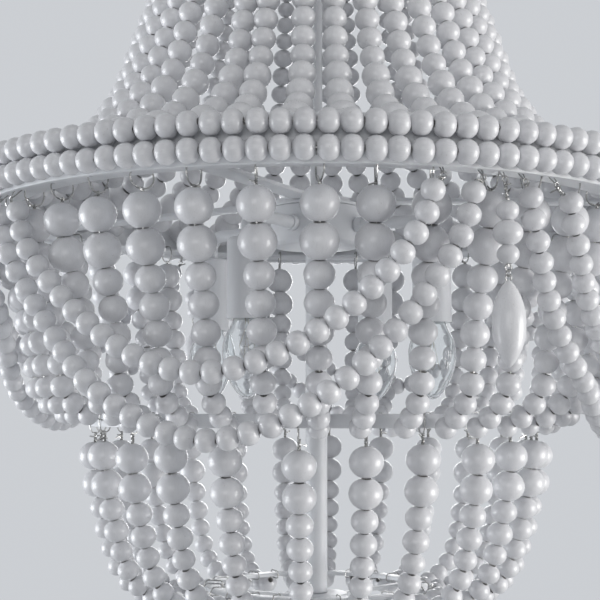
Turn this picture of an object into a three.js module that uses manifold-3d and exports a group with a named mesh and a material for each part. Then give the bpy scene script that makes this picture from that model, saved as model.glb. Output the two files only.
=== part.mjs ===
// Beaded chandelier: a ceiling canopy, three chain links and a white metal frame, hung with strings of
// wooden beads. Millimetres, +Z up. The origin lies on the ceiling, above the rod, and the front faces -Y.
// Angles are degrees round the rod, counted from the front towards +X.
import * as THREE from "three";
import { mergeVertices } from "three/addons/utils/BufferGeometryUtils.js";
import Module from "manifold-3d";

const wasm = await Module();
wasm.setup();

// Driving dimensions

const CLEARANCE = 0.3;
const TURNING_CLEARANCE = 0.5;
const WELD = 0.001;

const BAYS = 4;
const HOOKS_PER_BAY = 10;
const BASKET_STRANDS_PER_BAY = 6;
const HOOKS = BAYS * HOOKS_PER_BAY;
const FULL_TURN = 360;
const BAY_ANGLE = FULL_TURN / BAYS;
const HOOK_ANGLE = FULL_TURN / HOOKS;

const WIRE_RADIUS = 0.8;
const BEAD_LARGE = 25.4;
const BEAD_SMALL = 16.6;
const BEAD_CROWN = 15.8;
const BEAD_BAND = 15.2;

// Ceiling fixing
const BRACKET_LENGTH = 96;
const BRACKET_WIDTH = 20;
const BRACKET_THICKNESS = 3;
const CANOPY_RADIUS = 62;
const CANOPY_HEIGHT = 28;
const CANOPY_WALL = 1.5;
const NIPPLE_RADIUS = 5;
const COLLAR_RADIUS = 9;
const COLLAR_HEIGHT = 10;
const COLLAR_BORE_DEPTH = 7;

// Chain and eyes: radii of the wire and of its centre line
const EYE_RADIUS = 9;
const EYE_WIRE_RADIUS = 2.2;
const LINKS = 3;
const LINK_WIRE_RADIUS = 2;
const LINK_HALF_WIDTH = 7;
const LINK_STRAIGHT = 18;
const NECK_RADIUS = 8;
const NECK_HEIGHT = 14;
const NECK_BORE_DEPTH = 8;

// Frame
const ROD_RADIUS = 5;
const CROWN_HEIGHT = 306.3;
const CURTAIN_HEIGHT = 165.7;
const BASKET_HEIGHT = 128.5;

const CROWN_RING_RADIUS = 112;
const CROWN_RING_WIDTH = 22;
const CROWN_RING_THICKNESS = 3;
const CROWN_SKIRT_HEIGHT = 12;
const CROWN_SKIRT_WALL = 1.6;
const CROWN_COLLAR_RADIUS = 12;
const CROWN_COLLAR_HEIGHT = 8;
const CROWN_SPOKE_WIDTH = 12;

const PLATE_RADIUS = 277;
const PLATE_HEIGHT = 34.3;
const PLATE_WALL = 3.5;
const FLANGE_WIDTH = 30;
const FLANGE_THICKNESS = 2.5;
const LIP_HEIGHT = 4.8;
const LIP_WALL = 2.5;
const LOWER_ROW_LIFT = 10.5;

const SPIDER_PLATE_RADIUS = 34;
const SPIDER_THICKNESS = 3;
const SPIDER_SPOKE_WIDTH = 20;
const SPIDER_FOOT_LENGTH = 22;

const HUB_RADIUS = 38;
const HUB_WALL = 2;
const HUB_CUP_HEIGHT = 32.5;
const HUB_COVER_THICKNESS = 3;
const HUB_LIFT = 15.8;

const POST_RADIUS = 9;
const POST_TOP_BORE_DEPTH = 20;
const POST_FOOT_BORE_DEPTH = 12;

const LOWER_RING_RADIUS = 184;
const LOWER_RING_WIDTH = 7;
const LOWER_RING_HEIGHT = 10;
const LOWER_RING_WALL = 2.2;

const BOTTOM_RING_RADIUS = 91;
const BOTTOM_RING_WIDTH = 12;
const BOTTOM_RING_THICKNESS = 3;
const BOTTOM_SPOKE_WIDTH = 8;
const BOTTOM_SPOKE_ANGLE = 33;
const FOOT_DISC_RADIUS = 25;
const FOOT_DROP = 7;

const FINIAL_STUD_RADIUS = 3.5;
const FINIAL_NECK_RADIUS = 6;
const FINIAL_NECK_HEIGHT = 4;
const FINIAL_BALL_RADIUS = 10;

// Lights
const LIGHT_ANGLE = -12;
const LIGHT_RADIUS = 106;
const ARM_RADIUS = 5;
const ARM_BOSS_RADIUS = 6.5;
const ARM_BOSS_LENGTH = 6;
const ARM_BEND_RADIUS = 12;
const ARM_SEAT_DEPTH = 8;
const SLEEVE_RADIUS = 15.5;
const SLEEVE_WALL = 1.2;
const SLEEVE_SHOULDER = 3;
const SLEEVE_LENGTH = 63;
const SLEEVE_DROP = 20.7;
const SOCKET_RADIUS = 13.5;
const SOCKET_FLOOR = 17.8;
const CAP_RADIUS = 7;
const CAP_LENGTH = 20;
const BULB_RADIUS = 19;
const BULB_GLASS_LENGTH = 76;

// Strings
const CROWN_END_LIFT = 27.5;
const CROWN_END_GAP = 3.6;
const HOOK_INSET = 7.5;
const CURTAIN_INSET = 5;
const CURTAIN_TOP_DROP = 19.7;
const CURTAIN_END_GAP = 2.4;
const CURTAIN_SPAN_DROP = 149;
const BASKET_ANGLE = -1.8;
const BASKET_END_SAG = 9.5;
const SWAG_BEAD = 16.6;
const SWAG_REST_GAP = 1.6;
const SWAG_END_INSET = 4;
const SWAG_TOP_DROP = 13;
const UPPER_SWAG_HALF_ANGLE = 35.5;
const UPPER_SWAG_SAG = 116;
const LOWER_SWAG_HALF_ANGLE = 41.5;
const LOWER_SWAG_SAG = 160;
const SWAG_FULLNESS = { along: 1.8, down: 1.5 };

// Pendant drops
const DROP_INSET = 2.5;
const DROP_WIRE_LENGTH = 15.5;
const DROP_BEAD = 15;
const DROP_BEAD_LARGE = 20;
const DROP_BEAD_LARGE_HEIGHT = 18;
const DROP_LINK_LENGTH = 9.5;
const DROP_ALMOND_LENGTH = 57;
const DROP_ALMOND_RADIUS = 11.5;

// Facets round each kind of piece
const RING_SIDES = HOOKS;
const BOTTOM_RING_SIDES = 24;
const ROUND_SIDES = 20;
const AXLE_SIDES = 12;
const ARM_SIDES = 8;
const LIGHT_SIDES = 10;
const DROP_SIDES = 6;
const WIRE_SIDES = 3;
const STRAND_SIDES = 4;
const SWAG_SIDES = 5;
const SWAG_STEPS = 14;
const LINK_BEND_STEPS = 6;
const EYE_STEPS = 12;
const CHAIN_SIDES = 6;
const BEND_STEPS = 4;

// Heights and radii worked out from the dimensions above
const COLLAR_TOP_Z = -CANOPY_HEIGHT - CLEARANCE;
const COLLAR_FOOT_Z = COLLAR_TOP_Z - COLLAR_HEIGHT;
const COLLAR_EYE_Z = COLLAR_FOOT_Z - EYE_RADIUS + EYE_WIRE_RADIUS / 2;
const LINK_LENGTH = LINK_STRAIGHT + 2 * LINK_HALF_WIDTH;

/** Heights of the wire centre at the foot of each carrier: the collar's eye, then every link. */
const SEAT_Z = [COLLAR_EYE_Z - EYE_RADIUS];
for (let link = 0; link < LINKS; link += 1) {
  const carrierWire = link === 0 ? EYE_WIRE_RADIUS : LINK_WIRE_RADIUS;
  SEAT_Z.push(SEAT_Z[link] + carrierWire + CLEARANCE + LINK_WIRE_RADIUS - LINK_LENGTH);
}
const TOP_EYE_Z = SEAT_Z[LINKS] + LINK_WIRE_RADIUS + CLEARANCE + EYE_WIRE_RADIUS - EYE_RADIUS;
const NECK_TOP_Z = TOP_EYE_Z - EYE_RADIUS + EYE_WIRE_RADIUS / 2;
const NECK_FOOT_Z = NECK_TOP_Z - NECK_HEIGHT;

const CROWN_COLLAR_TOP_Z = NECK_FOOT_Z - CLEARANCE;
const CROWN_RING_Z = CROWN_COLLAR_TOP_Z - CROWN_COLLAR_HEIGHT;
const HOOP_Z = CROWN_RING_Z - CROWN_HEIGHT;
const FLANGE_Z = HOOP_Z + LIP_HEIGHT;
const FLANGE_TOP_Z = FLANGE_Z + FLANGE_THICKNESS;
const LOWER_RING_Z = HOOP_Z - CURTAIN_HEIGHT;
const BOTTOM_RING_TOP_Z = LOWER_RING_Z - BASKET_HEIGHT;
const BOTTOM_RING_Z = BOTTOM_RING_TOP_Z - BOTTOM_RING_THICKNESS;
const FOOT_DISC_TOP_Z = BOTTOM_RING_TOP_Z - FOOT_DROP;
const FOOT_DISC_Z = FOOT_DISC_TOP_Z - BOTTOM_RING_THICKNESS;

const COVER_TOP_Z = HOOP_Z + HUB_LIFT + HUB_COVER_THICKNESS;
const CUP_TOP_Z = COVER_TOP_Z - HUB_COVER_THICKNESS - CLEARANCE;
const CUP_FOOT_Z = CUP_TOP_Z - HUB_CUP_HEIGHT;
const POST_TOP_Z = CUP_FOOT_Z - CLEARANCE;
const POST_FOOT_Z = FOOT_DISC_TOP_Z + CLEARANCE;
const ARM_Z = (CUP_TOP_Z + CUP_FOOT_Z) / 2;
const SLEEVE_TOP_Z = HOOP_Z - SLEEVE_DROP;
const SOCKET_TOP_Z = SLEEVE_TOP_Z - SLEEVE_WALL - CLEARANCE;
const CAP_TOP_Z = SOCKET_TOP_Z - ARM_SEAT_DEPTH - SOCKET_FLOOR - CLEARANCE;
const GLASS_TOP_Z = CAP_TOP_Z - CAP_LENGTH;
const SOCKET_FOOT_Z = GLASS_TOP_Z + CLEARANCE;

const PLATE_INNER_RADIUS = PLATE_RADIUS - PLATE_WALL;
const FLANGE_INNER_RADIUS = PLATE_RADIUS - FLANGE_WIDTH;
const HOOK_RADIUS = FLANGE_INNER_RADIUS + LIP_WALL + HOOK_INSET;
const CURTAIN_TOP_RADIUS = HOOK_RADIUS - CURTAIN_INSET;
const CURTAIN_START_Z = HOOP_Z - CURTAIN_TOP_DROP;
const CURTAIN_END_RADIUS = LOWER_RING_RADIUS + CURTAIN_END_GAP;
const SWAG_END_RADIUS = PLATE_RADIUS - SWAG_END_INSET;
const DROP_RADIUS = PLATE_RADIUS - DROP_INSET;
const BAND_ROW_RADIUS = PLATE_RADIUS + CLEARANCE + BEAD_BAND / 2;
const ROD_HOLE_RADIUS = ROD_RADIUS + CLEARANCE;

// Materials

/** A plain opaque finish. */
function finish(color, roughness, metalness) {
  return new THREE.MeshStandardMaterial({ color, roughness, metalness });
}

const PAINTED_BEAD = finish(0xeceef2, 0.42, 0);
const PAINTED_METAL = finish(0xe4e6ea, 0.5, 0.1);
const CANDLE_SLEEVE = finish(0xf1f2f4, 0.55, 0);
const SOCKET_PLASTIC = finish(0xe8e8e6, 0.6, 0);
const CLEAR_GLASS = new THREE.MeshStandardMaterial({
  color: 0xf4f8fa,
  roughness: 0.04,
  metalness: 0,
  transparent: true,
  opacity: 0.35,
});

// Solid helpers

/** The point at a radius, an angle in degrees round the rod and a height. */
function polar(radius, degrees, z) {
  const angle = THREE.MathUtils.degToRad(degrees);
  return new THREE.Vector3(radius * Math.sin(angle), -radius * Math.cos(angle), z);
}

/** The unit direction along the circle, towards growing angles. */
function along(degrees) {
  return polar(1, degrees + FULL_TURN / 4, 0);
}

/** A geometry as a manifold solid. */
function solid(geometry) {
  const bare = geometry.index ? geometry.clone() : geometry;
  bare.deleteAttribute("normal");
  bare.deleteAttribute("uv");
  const merged = mergeVertices(bare, WELD);
  const kept = [];
  for (let i = 0; i < merged.index.count; i += 3) {
    const [a, b, c] = [0, 1, 2].map((corner) => merged.index.getX(i + corner));
    if (a !== b && b !== c && c !== a) kept.push(a, b, c);
  }
  const mesh = new wasm.Mesh({
    numProp: 3,
    vertProperties: merged.attributes.position.array,
    triVerts: new Uint32Array(kept),
  });
  return new wasm.Manifold(mesh);
}

/** Several geometries as one joined solid. */
function join(geometries) {
  return geometries.map(solid).reduce((whole, piece) => whole.add(piece));
}

/** A manifold solid as a geometry with flat faces. */
function geometryOf(manifold) {
  const mesh = manifold.getMesh();
  const positions = new Float32Array(mesh.numVert * 3);
  for (let i = 0; i < mesh.numVert; i += 1) {
    positions.set(mesh.vertProperties.subarray(i * mesh.numProp, i * mesh.numProp + 3), i * 3);
  }
  const geometry = new THREE.BufferGeometry();
  geometry.setAttribute("position", new THREE.BufferAttribute(positions, 3));
  geometry.setIndex(new THREE.BufferAttribute(new Uint32Array(mesh.triVerts), 1));
  const flat = geometry.toNonIndexed();
  flat.computeVertexNormals();
  return flat;
}

/** A named mesh of a manifold solid. */
function piece(name, manifold, material) {
  const mesh = new THREE.Mesh(geometryOf(manifold), material);
  mesh.name = name;
  return mesh;
}

/** Twice the area that a profile encloses, positive when it runs with its inside on the left. */
function signedArea(points) {
  return points.reduce((sum, [x, y], i) => {
    const [nextX, nextY] = points[(i + 1) % points.length];
    return sum + x * nextY - nextX * y;
  }, 0);
}

/** A turned piece from [radius, z] points. Points on the axis end the profile, any other closes on itself. */
function turned(points, sides) {
  const ordered = signedArea(points) > 0 ? [...points] : [...points].reverse();
  const first = ordered.findIndex(([radius], i) => {
    const [before] = ordered[(i + ordered.length - 1) % ordered.length];
    return radius === 0 && before === 0;
  });
  const start = Math.max(first, 0);
  const profile = [...ordered.slice(start), ...ordered.slice(0, start)];
  if (first < 0) profile.push(profile[0]);
  const geometry = new THREE.LatheGeometry(
    profile.map(([radius, z]) => new THREE.Vector2(radius, z)),
    sides,
  );
  return geometry.rotateX(Math.PI / 2);
}

/** A plain cylinder or tube between two heights. */
function tube(outer, inner, topZ, footZ, sides) {
  return turned([[inner, footZ], [outer, footZ], [outer, topZ], [inner, topZ]], sides);
}

/** A tube round stations of {centre, radius, side}, with flat ends or, when it is a loop, none. */
function sweep(stations, sides, loop = false) {
  const positions = [];
  const triangles = [];
  const count = stations.length;
  stations.forEach(({ centre, radius, side }, i) => {
    const before = stations[loop ? (i + count - 1) % count : Math.max(i - 1, 0)].centre;
    const after = stations[loop ? (i + 1) % count : Math.min(i + 1, count - 1)].centre;
    const tangent = after.clone().sub(before).normalize();
    const across = side.clone().addScaledVector(tangent, -side.dot(tangent)).normalize();
    const up = tangent.clone().cross(across);
    for (let j = 0; j < sides; j += 1) {
      const angle = (2 * Math.PI * j) / sides;
      const corner = centre
        .clone()
        .addScaledVector(across, radius * Math.cos(angle))
        .addScaledVector(up, radius * Math.sin(angle));
      positions.push(corner.x, corner.y, corner.z);
    }
  });
  const rings = loop ? count : count - 1;
  for (let i = 0; i < rings; i += 1) {
    for (let j = 0; j < sides; j += 1) {
      const a = i * sides + j;
      const b = i * sides + ((j + 1) % sides);
      const c = ((i + 1) % count) * sides + j;
      const d = ((i + 1) % count) * sides + ((j + 1) % sides);
      triangles.push(a, b, c, b, d, c);
    }
  }
  if (!loop) {
    const last = (count - 1) * sides;
    for (let j = 1; j < sides - 1; j += 1) {
      triangles.push(0, j + 1, j, last, last + j, last + j + 1);
    }
  }
  const geometry = new THREE.BufferGeometry();
  geometry.setAttribute("position", new THREE.Float32BufferAttribute(positions, 3));
  geometry.setIndex(triangles);
  return geometry;
}

/** A strand in the upright plane at one angle, from [radius, z, thickness] rows. */
function strand(degrees, rows) {
  const side = along(degrees);
  const stations = rows.map(([radius, z, thickness]) => ({
    centre: polar(radius, degrees, z),
    radius: thickness / 2,
    side,
  }));
  return sweep(stations, STRAND_SIDES);
}

/** The thin first row of a strand, close under the piece that carries it. */
function hanger(radius, carrierZ) {
  return [radius, lacingZ(carrierZ), 2 * WIRE_RADIUS];
}

/** The height of the lacing wire through the hangers under a carrier. */
function lacingZ(carrierZ) {
  return carrierZ - CLEARANCE - WIRE_RADIUS;
}

/** The lacing wire that ties neighbouring strands along their ring. */
function lacing(radius, z, startDegrees, endDegrees, step) {
  const stations = [];
  for (let degrees = startDegrees; degrees < endDegrees + step / 2; degrees += step) {
    const centre = polar(radius, degrees, z);
    stations.push({ centre, radius: WIRE_RADIUS, side: polar(1, degrees, 0) });
  }
  return sweep(stations, WIRE_SIDES);
}

/** A flat bar in the upright plane at one angle, from a closed [radius, z] outline. */
function bar(outline, width, degrees) {
  const shape = new THREE.Shape(outline.map(([radius, z]) => new THREE.Vector2(radius, z)));
  const geometry = new THREE.ExtrudeGeometry(shape, { depth: width, bevelEnabled: false });
  geometry.translate(0, 0, -width / 2);
  geometry.rotateX(Math.PI / 2);
  return geometry.rotateZ(THREE.MathUtils.degToRad(degrees - FULL_TURN / 4));
}

/** An eye of round wire standing in the XZ plane. */
function eye(z) {
  const geometry = new THREE.TorusGeometry(EYE_RADIUS, EYE_WIRE_RADIUS, CHAIN_SIDES, EYE_STEPS);
  geometry.rotateX(Math.PI / 2);
  return geometry.translate(0, 0, z);
}

/** The height at a share of the way from one height to another. */
function between(start, end, share) {
  return start + (end - start) * share;
}

// Ceiling fixing

/** The flat bar that is screwed to the ceiling box. */
function ceilingBracket() {
  const geometry = new THREE.BoxGeometry(BRACKET_LENGTH, BRACKET_WIDTH, BRACKET_THICKNESS);
  geometry.translate(0, 0, -BRACKET_THICKNESS / 2);
  return piece("ceiling_bracket", solid(geometry), PAINTED_METAL);
}

/** The spun cup that covers the bracket. */
function canopy() {
  // Shares of the cup's radius and height, from its rim to the hole
  const outlineShares = [[1, 0], [0.96, 0.42], [0.6, 0.88], [0.25, 1]];
  const hole = NIPPLE_RADIUS + CLEARANCE;
  const outer = outlineShares.map(([radiusShare, dropShare]) => [
    CANOPY_RADIUS * radiusShare,
    -CANOPY_HEIGHT * dropShare,
  ]);
  const inner = outlineShares.map(([radiusShare, dropShare]) => [
    (CANOPY_RADIUS - CANOPY_WALL) * radiusShare,
    -(CANOPY_HEIGHT - CANOPY_WALL) * dropShare,
  ]);
  const profile = [
    ...outer,
    [hole, -CANOPY_HEIGHT],
    [hole, -CANOPY_HEIGHT + CANOPY_WALL],
    ...inner.reverse(),
  ];
  return piece("canopy", solid(turned(profile, ROUND_SIDES)), PAINTED_METAL);
}

/** The threaded tube that the collar screws onto, through the canopy. */
function canopyNipple() {
  const top = -BRACKET_THICKNESS - CLEARANCE;
  const foot = COLLAR_TOP_Z - COLLAR_BORE_DEPTH + CLEARANCE;
  const profile = [[0, foot], [NIPPLE_RADIUS, foot], [NIPPLE_RADIUS, top], [0, top]];
  return piece("canopy_nipple", solid(turned(profile, AXLE_SIDES)), PAINTED_METAL);
}

/** The screw collar under the canopy, with the eye that the chain hangs on. */
function collarLoop() {
  const bore = NIPPLE_RADIUS + CLEARANCE;
  const boreFloor = COLLAR_TOP_Z - COLLAR_BORE_DEPTH;
  const profile = [
    [0, COLLAR_FOOT_Z],
    [COLLAR_RADIUS, COLLAR_FOOT_Z],
    [COLLAR_RADIUS, COLLAR_TOP_Z],
    [bore, COLLAR_TOP_Z],
    [bore, boreFloor],
    [0, boreFloor],
  ];
  return piece("collar_loop", join([turned(profile, AXLE_SIDES), eye(COLLAR_EYE_Z)]), PAINTED_METAL);
}

/** One oval chain link. Even links stand in the YZ plane and odd ones in the XZ plane. */
function chainLink(index) {
  const carrierWire = index === 0 ? EYE_WIRE_RADIUS : LINK_WIRE_RADIUS;
  const topZ = SEAT_Z[index] + carrierWire + CLEARANCE + LINK_WIRE_RADIUS;
  const upright = index % 2 === 0 ? new THREE.Vector3(0, 1, 0) : new THREE.Vector3(1, 0, 0);
  const side = index % 2 === 0 ? new THREE.Vector3(1, 0, 0) : new THREE.Vector3(0, 1, 0);
  const stations = [];
  [1, -1].forEach((half) => {
    const bendZ = half > 0 ? topZ - LINK_HALF_WIDTH : topZ - LINK_LENGTH + LINK_HALF_WIDTH;
    for (let step = 0; step <= LINK_BEND_STEPS; step += 1) {
      const angle = (Math.PI * step) / LINK_BEND_STEPS;
      const centre = upright.clone().multiplyScalar(half * LINK_HALF_WIDTH * Math.cos(angle));
      centre.z = bendZ + half * LINK_HALF_WIDTH * Math.sin(angle);
      stations.push({ centre, radius: LINK_WIRE_RADIUS, side });
    }
  });
  return piece(`chain_link_${index + 1}`, solid(sweep(stations, CHAIN_SIDES, true)), PAINTED_METAL);
}

/** The eye and neck on top of the rod. */
function topLoop() {
  const boreFloor = NECK_FOOT_Z + NECK_BORE_DEPTH;
  const profile = [
    [0, NECK_TOP_Z],
    [NECK_RADIUS, NECK_TOP_Z],
    [NECK_RADIUS, NECK_FOOT_Z],
    [ROD_HOLE_RADIUS, NECK_FOOT_Z],
    [ROD_HOLE_RADIUS, boreFloor],
    [0, boreFloor],
  ];
  return piece("top_loop", join([turned(profile, AXLE_SIDES), eye(TOP_EYE_Z)]), PAINTED_METAL);
}

// Frame

/** The rod from the top loop down through the hub into the post. */
function upperRod() {
  const top = NECK_FOOT_Z + NECK_BORE_DEPTH - CLEARANCE;
  const foot = POST_TOP_Z - POST_TOP_BORE_DEPTH + CLEARANCE;
  const profile = [[0, foot], [ROD_RADIUS, foot], [ROD_RADIUS, top], [0, top]];
  return piece("upper_rod", solid(turned(profile, AXLE_SIDES)), PAINTED_METAL);
}

/** The small ring at the top of the crown, on its four spokes. */
function crownRing() {
  const outer = CROWN_RING_RADIUS + CROWN_RING_WIDTH / 2;
  const inner = CROWN_RING_RADIUS - CROWN_RING_WIDTH / 2;
  const top = CROWN_RING_Z + CROWN_RING_THICKNESS;
  const skirtFoot = CROWN_RING_Z - CROWN_SKIRT_HEIGHT;
  const ring = turned(
    [
      [inner, top],
      [inner, CROWN_RING_Z],
      [outer - CROWN_SKIRT_WALL, CROWN_RING_Z],
      [outer - CROWN_SKIRT_WALL, skirtFoot],
      [outer, skirtFoot],
      [outer, top],
    ],
    RING_SIDES,
  );
  const collar = tube(CROWN_COLLAR_RADIUS, ROD_HOLE_RADIUS, CROWN_COLLAR_TOP_Z, CROWN_RING_Z, AXLE_SIDES);
  const spokeStart = (CROWN_COLLAR_RADIUS + ROD_HOLE_RADIUS) / 2;
  const spokes = [0, 1, 2, 3].map((quarter) =>
    bar(
      [
        [spokeStart, CROWN_RING_Z],
        [CROWN_RING_RADIUS, CROWN_RING_Z],
        [CROWN_RING_RADIUS, top],
        [spokeStart, top],
      ],
      CROWN_SPOKE_WIDTH,
      quarter * BAY_ANGLE,
    ),
  );
  return piece("crown_ring", join([ring, collar, ...spokes]), PAINTED_METAL);
}

/** The main hoop: an upright plate with a channel-shaped flange inside its lower edge. */
function hoop() {
  const outerLip = PLATE_RADIUS - LIP_WALL * 2;
  const profile = [
    [PLATE_RADIUS, HOOP_Z],
    [PLATE_RADIUS, HOOP_Z + PLATE_HEIGHT],
    [PLATE_INNER_RADIUS, HOOP_Z + PLATE_HEIGHT],
    [PLATE_INNER_RADIUS, FLANGE_TOP_Z],
    [FLANGE_INNER_RADIUS, FLANGE_TOP_Z],
    [FLANGE_INNER_RADIUS, HOOP_Z],
    [FLANGE_INNER_RADIUS + LIP_WALL, HOOP_Z],
    [FLANGE_INNER_RADIUS + LIP_WALL, FLANGE_Z],
    [outerLip, FLANGE_Z],
    [outerLip, HOOP_Z],
  ];
  return piece("hoop", solid(turned(profile, RING_SIDES)), PAINTED_METAL);
}

/** One row of band beads, as the ring that the beads fill. */
function bandRow(name, row) {
  const z = HOOP_Z + LOWER_ROW_LIFT + row * (BEAD_BAND + CLEARANCE);
  const half = BEAD_BAND / 2;
  const flat = half / 2;
  const profile = [
    [BAND_ROW_RADIUS - half, z - flat],
    [BAND_ROW_RADIUS, z - half],
    [BAND_ROW_RADIUS + half, z - flat],
    [BAND_ROW_RADIUS + half, z + flat],
    [BAND_ROW_RADIUS, z + half],
    [BAND_ROW_RADIUS - half, z + flat],
  ];
  return piece(name, solid(turned(profile, RING_SIDES)), PAINTED_BEAD);
}

/** The plate on the hub cover with four bars that carry the hoop. */
function spider() {
  const foot = COVER_TOP_Z + CLEARANCE;
  const top = foot + SPIDER_THICKNESS;
  const seat = FLANGE_TOP_Z + CLEARANCE;
  const seatOuter = PLATE_INNER_RADIUS - LIP_WALL * 2;
  const seatInner = seatOuter - SPIDER_FOOT_LENGTH;
  const root = ROD_HOLE_RADIUS + SPIDER_THICKNESS;
  const plate = tube(SPIDER_PLATE_RADIUS, ROD_HOLE_RADIUS, top, foot, AXLE_SIDES);
  const spokes = [0, 1, 2, 3].map((quarter) =>
    bar(
      [
        [root, foot],
        [HUB_RADIUS, foot],
        [seatInner, seat],
        [seatOuter, seat],
        [seatOuter, seat + SPIDER_THICKNESS],
        [seatInner, seat + SPIDER_THICKNESS],
        [HUB_RADIUS, top],
        [root, top],
      ],
      SPIDER_SPOKE_WIDTH,
      quarter * BAY_ANGLE,
    ),
  );
  return piece("spoke_spider", join([plate, ...spokes]), PAINTED_METAL);
}

/** The cup that holds the wiring and carries the arms. */
function hubCup() {
  const floor = CUP_FOOT_Z + HUB_WALL;
  const profile = [
    [ROD_HOLE_RADIUS, CUP_FOOT_Z],
    [HUB_RADIUS, CUP_FOOT_Z],
    [HUB_RADIUS, CUP_TOP_Z],
    [HUB_RADIUS - HUB_WALL, CUP_TOP_Z],
    [HUB_RADIUS - HUB_WALL, floor],
    [ROD_HOLE_RADIUS, floor],
  ];
  return piece("hub_cup", solid(turned(profile, ROUND_SIDES)), PAINTED_METAL);
}

/** The lid of the hub. */
function hubCover() {
  const foot = COVER_TOP_Z - HUB_COVER_THICKNESS;
  const lid = tube(HUB_RADIUS, ROD_HOLE_RADIUS, COVER_TOP_Z, foot, ROUND_SIDES);
  return piece("hub_cover", solid(lid), PAINTED_METAL);
}

/** The thick post from the hub to the foot disc, bored at both ends. */
function lowerPost() {
  const studBore = FINIAL_STUD_RADIUS + CLEARANCE;
  const profile = [
    [0, POST_TOP_Z - POST_TOP_BORE_DEPTH],
    [ROD_HOLE_RADIUS, POST_TOP_Z - POST_TOP_BORE_DEPTH],
    [ROD_HOLE_RADIUS, POST_TOP_Z],
    [POST_RADIUS, POST_TOP_Z],
    [POST_RADIUS, POST_FOOT_Z],
    [studBore, POST_FOOT_Z],
    [studBore, POST_FOOT_Z + POST_FOOT_BORE_DEPTH],
    [0, POST_FOOT_Z + POST_FOOT_BORE_DEPTH],
  ];
  return piece("lower_post", solid(turned(profile, AXLE_SIDES)), PAINTED_METAL);
}

/** The channel ring that the curtain pulls up and the basket hangs on. */
function lowerRing() {
  const inner = LOWER_RING_RADIUS - LOWER_RING_WIDTH;
  const web = LOWER_RING_RADIUS - LOWER_RING_WALL;
  const top = LOWER_RING_Z + LOWER_RING_HEIGHT;
  const profile = [
    [LOWER_RING_RADIUS, LOWER_RING_Z],
    [LOWER_RING_RADIUS, top],
    [inner, top],
    [inner, top - LOWER_RING_WALL],
    [web, top - LOWER_RING_WALL],
    [web, LOWER_RING_Z + LOWER_RING_WALL],
    [inner, LOWER_RING_Z + LOWER_RING_WALL],
    [inner, LOWER_RING_Z],
  ];
  return piece("lower_ring", solid(turned(profile, RING_SIDES)), PAINTED_METAL);
}

/** The bottom ring, its sloping spokes and the foot disc. */
function bottomFrame() {
  const ring = tube(
    BOTTOM_RING_RADIUS,
    BOTTOM_RING_RADIUS - BOTTOM_RING_WIDTH,
    BOTTOM_RING_TOP_Z,
    BOTTOM_RING_Z,
    BOTTOM_RING_SIDES,
  );
  const disc = tube(
    FOOT_DISC_RADIUS,
    FINIAL_STUD_RADIUS + CLEARANCE,
    FOOT_DISC_TOP_Z,
    FOOT_DISC_Z,
    AXLE_SIDES,
  );
  const root = FOOT_DISC_RADIUS - BOTTOM_SPOKE_WIDTH;
  const reach = BOTTOM_RING_RADIUS - BOTTOM_RING_WIDTH / 2;
  const spokes = [0, 1, 2, 3].map((quarter) =>
    bar(
      [
        [root, FOOT_DISC_Z],
        [FOOT_DISC_RADIUS, FOOT_DISC_Z],
        [reach, BOTTOM_RING_Z],
        [reach, BOTTOM_RING_TOP_Z],
        [FOOT_DISC_RADIUS, FOOT_DISC_TOP_Z],
        [root, FOOT_DISC_TOP_Z],
      ],
      BOTTOM_SPOKE_WIDTH,
      BOTTOM_SPOKE_ANGLE + quarter * BAY_ANGLE,
    ),
  );
  return piece("bottom_frame", join([ring, disc, ...spokes]), PAINTED_METAL);
}

/** The ball-ended nut that holds the bottom frame to the post. */
function finial() {
  const studTop = POST_FOOT_Z + POST_FOOT_BORE_DEPTH - CLEARANCE;
  const neckTop = FOOT_DISC_Z - CLEARANCE;
  const neckFoot = neckTop - FINIAL_NECK_HEIGHT;
  // Shares of the ball's radius, outwards and down from the neck
  const ballShares = [[0.72, 0.3], [1, 1], [0.72, 1.7], [0, 2]];
  const profile = [
    [0, studTop],
    [FINIAL_STUD_RADIUS, studTop],
    [FINIAL_STUD_RADIUS, neckTop],
    [FINIAL_NECK_RADIUS, neckTop],
    [FINIAL_NECK_RADIUS, neckFoot],
    ...ballShares.map(([radiusShare, dropShare]) => [
      FINIAL_BALL_RADIUS * radiusShare,
      neckFoot - FINIAL_BALL_RADIUS * dropShare,
    ]),
  ];
  return piece("finial", solid(turned(profile, AXLE_SIDES)), PAINTED_METAL);
}

// Lights

/** The angle of one light round the rod. */
function lightAngle(index) {
  return LIGHT_ANGLE + index * BAY_ANGLE;
}

/** A turned piece moved out to a light's axis. */
function atLight(geometry, index) {
  const centre = polar(LIGHT_RADIUS, lightAngle(index), 0);
  return geometry.translate(centre.x, centre.y, 0);
}

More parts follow.
